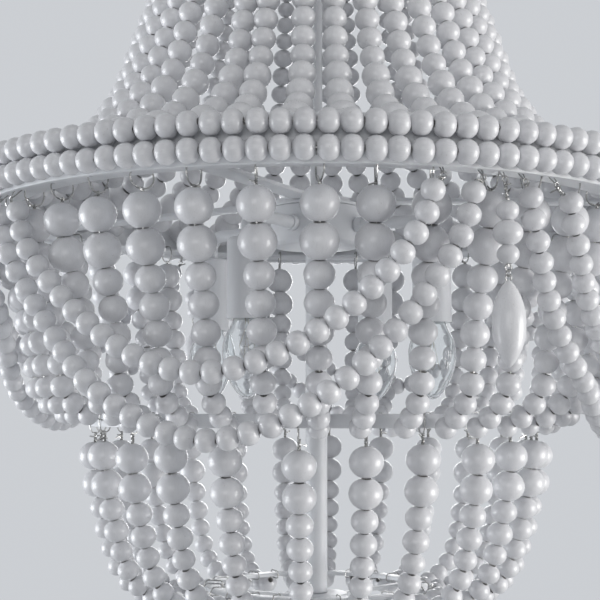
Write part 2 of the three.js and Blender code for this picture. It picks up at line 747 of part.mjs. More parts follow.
/** The bent tube from the hub's side to the top of a socket. */
function arm(index) {
  const degrees = lightAngle(index);
  const side = along(degrees);
  const start = HUB_RADIUS + CLEARANCE;
  const foot = SOCKET_TOP_Z - ARM_SEAT_DEPTH + CLEARANCE;
  const rows = [
    [start, ARM_Z, ARM_BOSS_RADIUS],
    [start + ARM_BOSS_LENGTH, ARM_Z, ARM_BOSS_RADIUS],
    [start + ARM_BOSS_LENGTH + CLEARANCE, ARM_Z, ARM_RADIUS],
  ];
  for (let step = 0; step <= BEND_STEPS; step += 1) {
    const angle = (Math.PI / 2) * (step / BEND_STEPS);
    rows.push([
      LIGHT_RADIUS - ARM_BEND_RADIUS + ARM_BEND_RADIUS * Math.sin(angle),
      ARM_Z - ARM_BEND_RADIUS + ARM_BEND_RADIUS * Math.cos(angle),
      ARM_RADIUS,
    ]);
  }
  rows.push([LIGHT_RADIUS, foot, ARM_RADIUS]);
  const stations = rows.map(([radius, z, thickness]) => ({
    centre: polar(radius, degrees, z),
    radius: thickness,
    side,
  }));
  return piece(`arm_${index + 1}`, solid(sweep(stations, ARM_SIDES)), PAINTED_METAL);
}

/** The lamp socket inside a candle sleeve. */
function socket(index) {
  const seat = ARM_RADIUS + CLEARANCE;
  const bore = CAP_RADIUS + TURNING_CLEARANCE;
  const seatFloor = SOCKET_TOP_Z - ARM_SEAT_DEPTH;
  const boreTop = seatFloor - SOCKET_FLOOR;
  const profile = [
    [0, seatFloor],
    [seat, seatFloor],
    [seat, SOCKET_TOP_Z],
    [SOCKET_RADIUS, SOCKET_TOP_Z],
    [SOCKET_RADIUS, SOCKET_FOOT_Z],
    [bore, SOCKET_FOOT_Z],
    [bore, boreTop],
    [0, boreTop],
  ];
  return piece(`socket_${index + 1}`, solid(atLight(turned(profile, LIGHT_SIDES), index)), SOCKET_PLASTIC);
}

/** The white candle sleeve with a rounded shoulder, hung on the socket. */
function sleeve(index) {
  const inner = SLEEVE_RADIUS - SLEEVE_WALL;
  const foot = SLEEVE_TOP_Z - SLEEVE_LENGTH;
  const hole = ARM_RADIUS + CLEARANCE;
  const profile = [
    [hole, SLEEVE_TOP_Z],
    [SLEEVE_RADIUS - SLEEVE_SHOULDER, SLEEVE_TOP_Z],
    [SLEEVE_RADIUS, SLEEVE_TOP_Z - SLEEVE_SHOULDER],
    [SLEEVE_RADIUS, foot],
    [inner, foot],
    [inner, SLEEVE_TOP_Z - SLEEVE_WALL],
    [hole, SLEEVE_TOP_Z - SLEEVE_WALL],
  ];
  return piece(`sleeve_${index + 1}`, solid(atLight(turned(profile, LIGHT_SIDES), index)), CANDLE_SLEEVE);
}

/** A clear candle bulb screwed up into its socket. */
function bulb(index) {
  // Shares of the glass's radius and length, from the cap to the tip
  const glassShares = [
    [0.42, 0.02],
    [0.5, 0.16],
    [0.64, 0.28],
    [0.95, 0.42],
    [1, 0.52],
    [0.88, 0.72],
    [0.5, 0.92],
    [0, 1],
  ];
  const profile = [
    [0, CAP_TOP_Z],
    [CAP_RADIUS, CAP_TOP_Z],
    [CAP_RADIUS, GLASS_TOP_Z],
    ...glassShares.map(([radiusShare, dropShare]) => [
      BULB_RADIUS * radiusShare,
      GLASS_TOP_Z - BULB_GLASS_LENGTH * dropShare,
    ]),
  ];
  return piece(`bulb_${index + 1}`, solid(atLight(turned(profile, LIGHT_SIDES), index)), CLEAR_GLASS);
}

// Bead strings

/** One quarter of the crown: strands from the small ring out to the band. */
function crownStrands(quarter) {
  const wireZ = lacingZ(CROWN_RING_Z);
  const endRadius = PLATE_INNER_RADIUS - CROWN_END_GAP;
  const endZ = HOOP_Z + CROWN_END_LIFT;
  // Shares of the way out and down, and of the way from the small bead to the large one
  const routeShares = [
    [0, 0.035, 0],
    [0.12, 0.33, 0.15],
    [0.24, 0.53, 0.28],
    [0.4, 0.746, 0.4],
    [0.62, 0.9, 0.7],
    [0.82, 0.976, 1],
    [1, 1, 1],
  ];
  const strands = [];
  const first = (quarter - 1 / 2) * BAY_ANGLE + HOOK_ANGLE / 2;
  for (let i = 0; i < HOOKS_PER_BAY; i += 1) {
    const rows = routeShares.map(([outShare, downShare, beadShare]) => [
      between(CROWN_RING_RADIUS, endRadius, outShare),
      between(wireZ, endZ, downShare),
      between(BEAD_CROWN, BEAD_LARGE, beadShare),
    ]);
    rows.unshift(hanger(CROWN_RING_RADIUS, CROWN_RING_Z));
    strands.push(strand(first + i * HOOK_ANGLE, rows));
  }
  const last = first + (HOOKS_PER_BAY - 1) * HOOK_ANGLE;
  const wire = lacing(CROWN_RING_RADIUS, wireZ, first, last, HOOK_ANGLE);
  return piece(`crown_strands_${quarter + 1}`, join([wire, ...strands]), PAINTED_BEAD);
}

/** The curtain's route as [radius, z, thickness] rows, graduated from large beads to small ones. */
function curtainRoute() {
  // Shares of the way in to the lower ring and of the way down, and of the largest bead
  const routeShares = [
    [0, -0.06, 0.9],
    [0.074, 0.163, 1],
    [0.165, 0.31, 0.84],
    [0.3, 0.55, 0.74],
    [0.34, 0.78, 0.7],
    [0.44, 0.88, 0.66],
    [1, 0.94, 0.62],
  ];
  return routeShares.map(([inShare, downShare, beadShare]) => [
    between(CURTAIN_TOP_RADIUS, CURTAIN_END_RADIUS, inShare),
    CURTAIN_START_Z - CURTAIN_SPAN_DROP * downShare,
    BEAD_LARGE * beadShare,
  ]);
}

/** One quarter of the curtain: graduated strands from the hoop's flange in to the lower ring. */
function curtainStrands(quarter) {
  const wireZ = lacingZ(FLANGE_Z);
  const strands = [];
  const first = (quarter - 1 / 2) * BAY_ANGLE + HOOK_ANGLE;
  const rows = [hanger(HOOK_RADIUS, FLANGE_Z), ...curtainRoute()];
  for (let i = 0; i < HOOKS_PER_BAY; i += 1) {
    strands.push(strand(first + i * HOOK_ANGLE, rows));
  }
  const last = first + (HOOKS_PER_BAY - 1) * HOOK_ANGLE;
  const wire = lacing(HOOK_RADIUS, wireZ, first, last, HOOK_ANGLE);
  return piece(`curtain_strands_${quarter + 1}`, join([wire, ...strands]), PAINTED_BEAD);
}

/** One quarter of the basket: strands from the lower ring in to the bottom ring. */
function basketStrands(quarter) {
  const step = BAY_ANGLE / BASKET_STRANDS_PER_BAY;
  const startRadius = LOWER_RING_RADIUS - LOWER_RING_WIDTH / 2;
  const endRadius = BOTTOM_RING_RADIUS + CLEARANCE * 2;
  const wireZ = lacingZ(LOWER_RING_Z);
  const endZ = (BOTTOM_RING_TOP_Z + BOTTOM_RING_Z) / 2;
  // Shares of the way in and down, and of the largest bead
  const routeShares = [
    [0, 0.09, 0.9],
    [0.03, 0.32, 0.96],
    [0.1, 0.56, 0.8],
    [0.2, 0.79, 0.7],
    [0.42, 1, 0.66],
  ];
  const rows = [hanger(startRadius, LOWER_RING_Z)];
  routeShares.forEach(([inShare, downShare, beadShare]) => {
    rows.push([
      between(startRadius, endRadius, inShare),
      between(wireZ, endZ, downShare),
      BEAD_LARGE * beadShare,
    ]);
  });
  const sagRadius = between(startRadius, endRadius, 3 / 4);
  rows.push([sagRadius, endZ - BASKET_END_SAG, BEAD_SMALL]);
  rows.push([endRadius, endZ, BEAD_SMALL]);
  const strands = [];
  const first = (quarter - 1 / 2) * BAY_ANGLE + step + BASKET_ANGLE;
  for (let i = 0; i < BASKET_STRANDS_PER_BAY; i += 1) {
    strands.push(strand(first + i * step, rows));
  }
  const last = first + (BASKET_STRANDS_PER_BAY - 1) * step;
  const wire = lacing(startRadius, wireZ, first, last, step);
  return piece(`basket_strands_${quarter + 1}`, join([wire, ...strands]), PAINTED_BEAD);
}

/** How far out a swag lies at a height, resting on the curtain above the row where it turns in. */
function swagRadiusAt(z) {
  const rows = curtainRoute().slice(0, -1);
  const reach = ([radius, , thickness]) => radius + thickness / 2;
  const below = rows.findIndex(([, rowZ]) => rowZ <= z);
  let surface = reach(below < 0 ? rows[rows.length - 1] : rows[0]);
  if (below > 0) {
    const [upper, lower] = [rows[below - 1], rows[below]];
    surface = between(reach(upper), reach(lower), (upper[1] - z) / (upper[1] - lower[1]));
  }
  return Math.min(surface + SWAG_BEAD / 2 + SWAG_REST_GAP, SWAG_END_RADIUS);
}

/** The share of its sag that a swag hangs down at a share of its half span, fuller than a free chain. */
function swagFall(share) {
  return Math.max(0, 1 - Math.abs(share) ** SWAG_FULLNESS.along) ** (1 / SWAG_FULLNESS.down);
}

/** A swag draped over the outside of the curtain between two hooks of one bay. */
function swag(name, bay, halfTurn, sag) {
  const topZ = HOOP_Z - SWAG_TOP_DROP;
  const stations = [];
  const add = (degrees, radius, z, thickness) => {
    const angle = bay * BAY_ANGLE + degrees;
    stations.push({ centre: polar(radius, angle, z), radius: thickness, side: polar(1, angle, 0) });
  };
  add(-halfTurn, SWAG_END_RADIUS, HOOP_Z - CLEARANCE, WIRE_RADIUS);
  add(-halfTurn, SWAG_END_RADIUS, topZ + SWAG_BEAD / 2, WIRE_RADIUS);
  for (let step = 0; step <= SWAG_STEPS; step += 1) {
    const share = Math.sin(Math.PI * (step / SWAG_STEPS - 1 / 2));
    const z = topZ - sag * swagFall(share);
    add(halfTurn * share, swagRadiusAt(z), z, SWAG_BEAD / 2);
  }
  add(halfTurn, SWAG_END_RADIUS, topZ + SWAG_BEAD / 2, WIRE_RADIUS);
  add(halfTurn, SWAG_END_RADIUS, HOOP_Z - CLEARANCE, WIRE_RADIUS);
  return piece(name, solid(sweep(stations, SWAG_SIDES)), PAINTED_BEAD);
}

/** A pendant drop where two bays meet: three beads, a short chain and an almond. */
function pendantDrop(index) {
  const profile = [[0, HOOP_Z - CLEARANCE], [WIRE_RADIUS, HOOP_Z - CLEARANCE]];
  let z = HOOP_Z - CLEARANCE - DROP_WIRE_LENGTH;
  const addBead = (radius, height) => {
    profile.push([WIRE_RADIUS, z], [radius, z - height / 4], [radius, z - (3 * height) / 4]);
    z -= height;
    profile.push([WIRE_RADIUS, z]);
  };
  addBead(DROP_BEAD / 2, DROP_BEAD);
  z -= CLEARANCE;
  addBead(DROP_BEAD_LARGE / 2, DROP_BEAD_LARGE_HEIGHT);
  z -= CLEARANCE;
  addBead(DROP_BEAD / 2, DROP_BEAD);
  z -= DROP_LINK_LENGTH;
  // Shares of the almond's radius and length, from its top to its tip
  const almondShares = [[0.55, 0.1], [0.95, 0.32], [1, 0.55], [0.72, 0.82], [0, 1]];
  profile.push([WIRE_RADIUS, z]);
  almondShares.forEach(([radiusShare, dropShare]) => {
    profile.push([DROP_ALMOND_RADIUS * radiusShare, z - DROP_ALMOND_LENGTH * dropShare]);
  });
  const centre = polar(DROP_RADIUS, (index + 1 / 2) * BAY_ANGLE, 0);
  const geometry = turned(profile, DROP_SIDES).translate(centre.x, centre.y, 0);
  return piece(`pendant_drop_${index + 1}`, solid(geometry), PAINTED_BEAD);
}

// The whole chandelier

/** Every piece, from the ceiling down. */
function chandelier() {
  const group = new THREE.Group();
  group.add(ceilingBracket(), canopy(), canopyNipple(), collarLoop());
  for (let link = 0; link < LINKS; link += 1) group.add(chainLink(link));
  group.add(topLoop(), upperRod(), crownRing(), hoop());
  group.add(bandRow("band_row_lower", 0), bandRow("band_row_upper", 1));
  group.add(spider(), hubCup(), hubCover(), lowerPost(), lowerRing(), bottomFrame(), finial());
  for (let bay = 0; bay < BAYS; bay += 1) {
    group.add(arm(bay), socket(bay), sleeve(bay), bulb(bay));
    group.add(crownStrands(bay), curtainStrands(bay), basketStrands(bay));
    group.add(swag(`upper_swag_${bay + 1}`, bay, UPPER_SWAG_HALF_ANGLE, UPPER_SWAG_SAG));
    group.add(swag(`lower_swag_${bay + 1}`, bay, LOWER_SWAG_HALF_ANGLE, LOWER_SWAG_SAG));
    group.add(pendantDrop(bay));
  }
  return group;
}

export default chandelier();
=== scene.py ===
"""Beaded chandelier: strings of painted wooden beads on a white metal frame with four candle lights.

Lengths in the classes are millimetres, with +Z up, z = 0 on the ceiling and the front towards -Y. Angles are
degrees round the rod, counted from the front towards +X. Shells.piece turns millimetres into metres.
"""

import logging
import math
from collections.abc import Sequence
from dataclasses import dataclass
from enum import Enum

import bmesh
import bpy
import numpy as np
from mathutils import Matrix, Vector


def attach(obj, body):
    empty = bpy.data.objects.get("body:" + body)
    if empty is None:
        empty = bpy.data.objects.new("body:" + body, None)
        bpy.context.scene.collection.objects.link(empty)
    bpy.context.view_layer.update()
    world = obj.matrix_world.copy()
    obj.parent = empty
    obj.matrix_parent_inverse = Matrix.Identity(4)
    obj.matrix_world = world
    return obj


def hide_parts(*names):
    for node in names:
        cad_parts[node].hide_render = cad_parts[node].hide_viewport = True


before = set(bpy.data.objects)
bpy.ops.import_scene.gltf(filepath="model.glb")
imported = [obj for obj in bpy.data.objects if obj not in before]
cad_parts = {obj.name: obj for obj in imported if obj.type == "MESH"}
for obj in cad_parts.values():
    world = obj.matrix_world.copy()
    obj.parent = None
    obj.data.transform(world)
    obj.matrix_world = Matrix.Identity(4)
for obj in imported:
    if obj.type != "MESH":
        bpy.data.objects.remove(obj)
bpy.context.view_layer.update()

LOG = logging.getLogger("chandelier")
METRES = 0.001
FULL_TURN = 360.0
BAYS = 4
HOOKS_PER_BAY = 10
BAY_ANGLE = FULL_TURN / BAYS
HOOK_ANGLE = BAY_ANGLE / HOOKS_PER_BAY
STRINGS = BAYS * HOOKS_PER_BAY
FRONT, RIGHT, UP = (0.0, -1.0, 0.0), (1.0, 0.0, 0.0), (0.0, 0.0, 1.0)
PATH_STEP = 0.5
CRISP_ANGLE = 38.0
GLASS_CRISP_ANGLE = 60.0
ANY_PHASE = 6.28
TINY = 1e-9

# Heights that more than one sub-assembly uses
CROWN_RING_Z = -172.8
HOOP_Z = -479.1
LOWER_RING_Z = -644.8

CEILING_BODY = "ceiling_mount"
LIGHT_BODY = "chandelier"

Pair = tuple[float, float]
Triple = tuple[float, float, float]
Colour = Triple
Rows = Sequence[Pair]
Piece = bpy.types.Object
Material = bpy.types.Material
Socket = bpy.types.NodeSocket
Chance = np.random.Generator


class Slot(Enum):
    """The material slots."""

    PAINTED_BEAD = "painted_bead"
    PAINTED_METAL = "painted_metal"
    CANDLE_SLEEVE = "candle_sleeve"
    SOCKET_PLASTIC = "socket_plastic"
    CLEAR_GLASS = "clear_glass"


@dataclass(frozen=True)
class Finish:
    """A material and the name of a material slot kept with it, if any."""

    material: Material
    slot: Slot | None = None


# Places and lines


def polar(radius: float, degrees: float, z: float = 0.0) -> np.ndarray:
    """The point at a radius, an angle round the rod and a height."""
    angle = math.radians(degrees)
    return np.array([radius * math.sin(angle), -radius * math.cos(angle), z])


def unit(vectors: np.ndarray) -> np.ndarray:
    """Vectors along the last axis, scaled to length one."""
    return vectors / np.maximum(np.linalg.norm(vectors, axis=-1, keepdims=True), TINY)


def smooth(points: Sequence[Sequence[float]], step: float = PATH_STEP) -> np.ndarray:
    """A smooth line through the points, as places at even steps along it.

    Args:
        points: Places that the line passes through, in any number of dimensions.
        step: Distance between the places returned, in millimetres.

    Returns:
        The places, one to a row.
    """
    knots = np.asarray(points, float)
    chord = np.concatenate([[0], np.cumsum(np.linalg.norm(np.diff(knots, axis=0), axis=1))])
    slopes = np.diff(knots, axis=0) / np.diff(chord)[:, None]
    inner = (slopes[1:] + slopes[:-1]) / 2
    tangents = np.concatenate([slopes[:1], inner, slopes[-1:]])
    fine = np.linspace(0, chord[-1], max(int(chord[-1] / step) * 2, 8))
    span = np.clip(np.searchsorted(chord, fine, side="right") - 1, 0, len(chord) - 2)
    width = (chord[span + 1] - chord[span])[:, None]
    t = (fine - chord[span])[:, None] / width
    line = (
        (2 * t**3 - 3 * t**2 + 1) * knots[span]
        + (t**3 - 2 * t**2 + t) * width * tangents[span]
        + (3 * t**2 - 2 * t**3) * knots[span + 1]
        + (t**3 - t**2) * width * tangents[span + 1]
    )
    return even(line, step)


def even(line: np.ndarray, step: float = PATH_STEP) -> np.ndarray:
    """The same line with its places at even steps.

    Args:
        line: Places along the line, one to a row.
        step: Distance between the places returned.

    Returns:
        The new places.
    """
    run = np.concatenate([[0], np.cumsum(np.linalg.norm(np.diff(line, axis=0), axis=1))])
    places = np.linspace(0, run[-1], max(int(round(run[-1] / step)) + 1, 3))
    return np.stack([np.interp(places, run, column) for column in line.T], axis=1)


def upright(line: np.ndarray, degrees: float) -> np.ndarray:
    """A [radius, z] line stood up in the plane at one angle round the rod.

    Args:
        line: [radius, z] places.
        degrees: The plane's angle.

    Returns:
        Places in space.
    """
    angle = math.radians(degrees)
    radius, z = line[:, 0], line[:, 1]
    return np.stack([radius * math.sin(angle), -radius * math.cos(angle), z], axis=1)


def rounded(profile: Rows, radius: float, steps: int = 2, closed: bool = True) -> list[Pair]:
    """The profile with its corners eased.

    Args:
        profile: [radius, z] corners.
        radius: How far from each corner the easing starts.
        steps: Spans in each eased corner.
        closed: Whether the last corner joins the first. If not, the two ends stay as they are.

    Returns:
        The longer profile.
    """
    corners = [np.array(corner, float) for corner in profile]
    count = len(corners)
    eased: list[Pair] = []
    for i, corner in enumerate(corners):
        before, after = corners[i - 1] - corner, corners[(i + 1) % count] - corner
        near, far = np.linalg.norm(before), np.linalg.norm(after)
        if (not closed and i in (0, count - 1)) or corner[0] == 0 or min(near, far) == 0:
            eased.append(tuple(corner))
            continue
        reach = min(radius, 0.45 * near, 0.45 * far)
        start, end = corner + before / near * reach, corner + after / far * reach
        for step in range(steps + 1):
            t = step / steps
            eased.append(tuple((1 - t) ** 2 * start + 2 * t * (1 - t) * corner + t**2 * end))
    return eased


# Meshes


class Shells:
    """Closed shells gathered into one mesh, in millimetres.

    Each point also carries the marks that the finishes read: its place on its own bead ("grain"), the bead's
    tone ("tone") and how near it is to a drilled hole ("rim").
    """

    def __init__(self) -> None:
        """Starts with no shell."""
        self.points: list[np.ndarray] = []
        self.quads: list[np.ndarray] = []
        self.triangles: list[np.ndarray] = []
        self.marks: dict[str, list[np.ndarray]] = {"grain": [], "tone": [], "rim": []}
        self.count = 0

    def add(
        self,
        points: np.ndarray,
        quads: np.ndarray,
        triangles: np.ndarray | None = None,
        marks: dict[str, np.ndarray] | None = None,
    ) -> None:
        """Adds one closed shell, or many alike, and turns its faces outwards.

        Args:
            points: Its places.
            quads: Four point numbers to a face.
            triangles: Three point numbers to a face.
            marks: Values for the named marks, where the shell is a bead.
        """
        triangles = np.zeros((0, 3), int) if triangles is None else np.asarray(triangles, int).reshape(-1, 3)
        quads = np.asarray(quads, int).reshape(-1, 4)
        middle = points.mean(axis=0)
        halves = np.concatenate([quads[:, [0, 1, 2]], quads[:, [0, 2, 3]], triangles])
        a, b, c = ((points - middle)[halves[:, i]] for i in range(3))
        if np.einsum("ij,ij->", a, np.cross(b, c)) < 0:
            quads, triangles = quads[:, ::-1], triangles[:, ::-1]
        self.quads.append(quads + self.count)
        self.triangles.append(triangles + self.count)
        self.points.append(points)
        marks = marks or {}
        self.marks["grain"].append(marks.get("grain", points))
        self.marks["tone"].append(marks.get("tone", np.ones(len(points))))
        self.marks["rim"].append(marks.get("rim", np.zeros(len(points))))
        self.count += len(points)

    def piece(self, name: str, material: Material, sharp: float = CRISP_ANGLE) -> Piece:
        """Makes the Blender object.

        Args:
            name: The piece's name.
            material: Its finish.
            sharp: Edges that turn by more degrees than this stay crisp.

        Returns:
            The new object, at the origin.
        """
        points = np.concatenate(self.points) * METRES
        quads, triangles = np.concatenate(self.quads), np.concatenate(self.triangles)
        mesh = bpy.data.meshes.new(name)
        mesh.vertices.add(len(points))
        mesh.vertices.foreach_set("co", points.astype(np.float32).ravel())
        corners = np.concatenate([quads.ravel(), triangles.ravel()]).astype(np.int32)
        mesh.loops.add(len(corners))
        mesh.loops.foreach_set("vertex_index", corners)
        starts = np.concatenate([np.arange(len(quads)) * 4, len(quads) * 4 + np.arange(len(triangles)) * 3])
        mesh.polygons.add(len(starts))
        mesh.polygons.foreach_set("loop_start", starts.astype(np.int32))
        mesh.update(calc_edges=True)
        mesh.validate()
        for mark, arrays in self.marks.items():
            kind, target = ("FLOAT_VECTOR", "vector") if mark == "grain" else ("FLOAT", "value")
            values = np.concatenate(arrays).astype(np.float32).ravel()
            mesh.attributes.new(mark, kind, "POINT").data.foreach_set(target, values)
        soften(mesh, sharp)
        mesh.materials.append(material)
        made = bpy.data.objects.new(name, mesh)
        bpy.context.scene.collection.objects.link(made)
        return made

    def settle(
        self, name: str, finish: Finish, body: str, *stands_for: str, sharp: float = CRISP_ANGLE
    ) -> Piece:
        """Makes the Blender object and lets it ride on its body.

        Args:
            name: The piece's name.
            finish: Its finish.
            body: The body that it moves with.
            stands_for: The solids that it is shown in place of.
            sharp: Edges that turn by more degrees than this stay crisp.

        Returns:
            The new object.
        """
        piece = self.piece(name, finish.material, sharp)
        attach(piece, body)
        if stands_for:
            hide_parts(*stands_for)
        LOG.info("%s: %d faces on %s", name, len(piece.data.polygons), body)
        return piece


def soften(mesh: bpy.types.Mesh, sharp: float = CRISP_ANGLE) -> None:
    """Smooths the faces and keeps crisp the edges that turn by more degrees than this."""
    mesh.polygons.foreach_set("use_smooth", np.ones(len(mesh.polygons), bool))
    mesh.set_sharp_from_angle(angle=math.radians(sharp))


def ring_faces(rows: int, sides: int, wrap: bool) -> np.ndarray:
    """Quads between rows of points that each go once round.

    Args:
        rows: How many rows.
        sides: Points in a row.
        wrap: Whether the last row joins the first.

    Returns:
        Four point numbers to a face.
    """
    i = np.arange(rows if wrap else rows - 1)[:, None]
    j = np.arange(sides)[None, :]
    below, above = i * sides, ((i + 1) % rows) * sides
    following = (j + 1) % sides
    return np.stack([below + j, below + following, above + following, above + j], axis=-1).reshape(-1, 4)


def fan(start: int, hub: int, sides: int, forward: bool) -> np.ndarray:
    """Triangles between a row of points that goes once round and the middle point of its end.

    Args:
        start: The row's first point number.
        hub: The middle point's number.
        sides: Points in the row.
        forward: Whether the faces go round with the row.

    Returns:
        Three point numbers to a face.
    """
    here = start + np.arange(sides)
    following = start + (np.arange(sides) + 1) % sides
    first, second = (here, following) if forward else (following, here)
    return np.stack([first, second, np.full(sides, hub)], axis=-1)


def turn(shells: Shells, profile: Rows, sides: int, centre: Sequence[float] = (0.0, 0.0)) -> None:
    """Adds a turned shell.

    Args:
        shells: Where it goes.
        profile: [radius, z] points. If the first and last lie on the axis, they close it; otherwise it closes
            on itself.
        sides: Facets round it.
        centre: The x and y of its axis.
    """
    rows = np.array(profile, float)
    poles = rows[0, 0] == 0 and rows[-1, 0] == 0
    body = rows[1:-1] if poles else rows
    angle = 2 * np.pi * np.arange(sides) / sides
    radius, height = body[:, :1], np.repeat(body[:, 1:], sides, axis=1)
    points = np.stack([radius * np.sin(angle), -radius * np.cos(angle), height], axis=-1).reshape(-1, 3)
    quads = ring_faces(len(body), sides, wrap=not poles)
    triangles = None
    if poles:
        count = len(points)
        points = np.vstack([points, [0, 0, rows[0, 1]], [0, 0, rows[-1, 1]]])
        ends = [fan(0, count, sides, False), fan(count - sides, count + 1, sides, True)]
        triangles = np.concatenate(ends)
    shells.add(points + np.array([*centre, 0.0]), quads, triangles)


def tube(
    shells: Shells, line: np.ndarray, radius: float | np.ndarray, sides: int = 6, loop: bool = False
) -> None:
    """Adds a round wire or pipe.

    Args:
        shells: Where it goes.
        line: The places of its middle.
        radius: Its radius, or one for each place.
        sides: Facets round it.
        loop: Whether its end joins its start.
    """
    line = np.asarray(line, float)
    count = len(line)
    ahead = np.roll(line, -1, axis=0) if loop else np.vstack([line[1:], line[-1:]])
    behind = np.roll(line, 1, axis=0) if loop else np.vstack([line[:1], line[:-1]])
    tangents = unit(ahead - behind)
    side = np.array([0.0, 0.0, 1.0]) if abs(tangents[0, 2]) < 0.8 else np.array([1.0, 0.0, 0.0])
    sideways = np.zeros((count, 3))
    for i, tangent in enumerate(tangents):
        side = side - side.dot(tangent) * tangent
        side /= max(np.linalg.norm(side), TINY)
        sideways[i] = side
    across = np.cross(tangents, sideways)
    angle = 2 * np.pi * np.arange(sides) / sides
    radii = np.broadcast_to(np.asarray(radius, float), (count,))[:, None, None]
    rim = sideways[:, None] * np.cos(angle)[None, :, None] + across[:, None] * np.sin(angle)[None, :, None]
    points = (line[:, None] + radii * rim).reshape(-1, 3)
    triangles = None
    if not loop:
        total = count * sides
        points = np.vstack([points, line[0], line[-1]])
        ends = [fan(0, total, sides, False), fan(total - sides, total + 1, sides, True)]
        triangles = np.concatenate(ends)
    shells.add(points, ring_faces(count, sides, wrap=loop), triangles)


def circle(
    centre: Sequence[float], first: Sequence[float], second: Sequence[float], radius: float, count: int
) -> np.ndarray:
    """Places round a circle in the plane of two directions."""
    angle = 2 * np.pi * np.arange(count) / count
    return centre + (np.outer(np.cos(angle), first) + np.outer(np.sin(angle), second)) * radius


def bar(shells: Shells, outline: Rows, width: float, degrees: float, ease: float = 0.5) -> None:
    """Adds a flat bar in the upright plane at one angle, with eased edges.

    Args:
        shells: Where it goes.
        outline: Closed [radius, z] corners.
        width: Its width across that plane.
        degrees: The plane's angle round the rod.
        ease: How far its edges are rounded.
    """
    work = bmesh.new()
    face = work.faces.new([work.verts.new((radius, -width / 2, z)) for radius, z in outline])
    far = bmesh.ops.extrude_face_region(work, geom=[face])["geom"]
    bmesh.ops.translate(work, vec=(0, width, 0), verts=[v for v in far if isinstance(v, bmesh.types.BMVert)])
    bmesh.ops.bevel(
        work, geom=list(work.edges), offset=ease, segments=2, profile=0.5, affect="EDGES", clamp_overlap=True
    )
    bmesh.ops.triangulate(work, faces=[f for f in work.faces if len(f.verts) > 4])
    turned = Matrix.Rotation(math.radians(degrees - BAY_ANGLE), 3, "Z")
    bmesh.ops.rotate(work, cent=(0, 0, 0), matrix=turned, verts=work.verts)
    work.verts.index_update()
    points = np.array([vert.co[:] for vert in work.verts])
    quads = [[v.index for v in f.verts] for f in work.faces if len(f.verts) == 4]
    triangles = [[v.index for v in f.verts] for f in work.faces if len(f.verts) == 3]
    work.free()
    shells.add(points, np.array(quads), np.array(triangles))


def drill(piece: Piece, bits: Shells) -> None:
    """Cuts the bits' space out of a piece and keeps its finish.

    Args:
        piece: What is drilled. It is one closed shell.
        bits: The shells that are cut out.
    """
    material = piece.data.materials[0]
    bit = bits.piece("drill_bits", material)
    cut = piece.modifiers.new("drilled", "BOOLEAN")
    cut.operation, cut.solver, cut.object = "DIFFERENCE", "EXACT", bit
    bpy.context.view_layer.update()
    graph = bpy.context.evaluated_depsgraph_get()
    mesh = bpy.data.meshes.new_from_object(piece.evaluated_get(graph))
    piece.modifiers.clear()
    piece.data = mesh
    soften(mesh)
    bpy.data.objects.remove(bit)


# Finishes


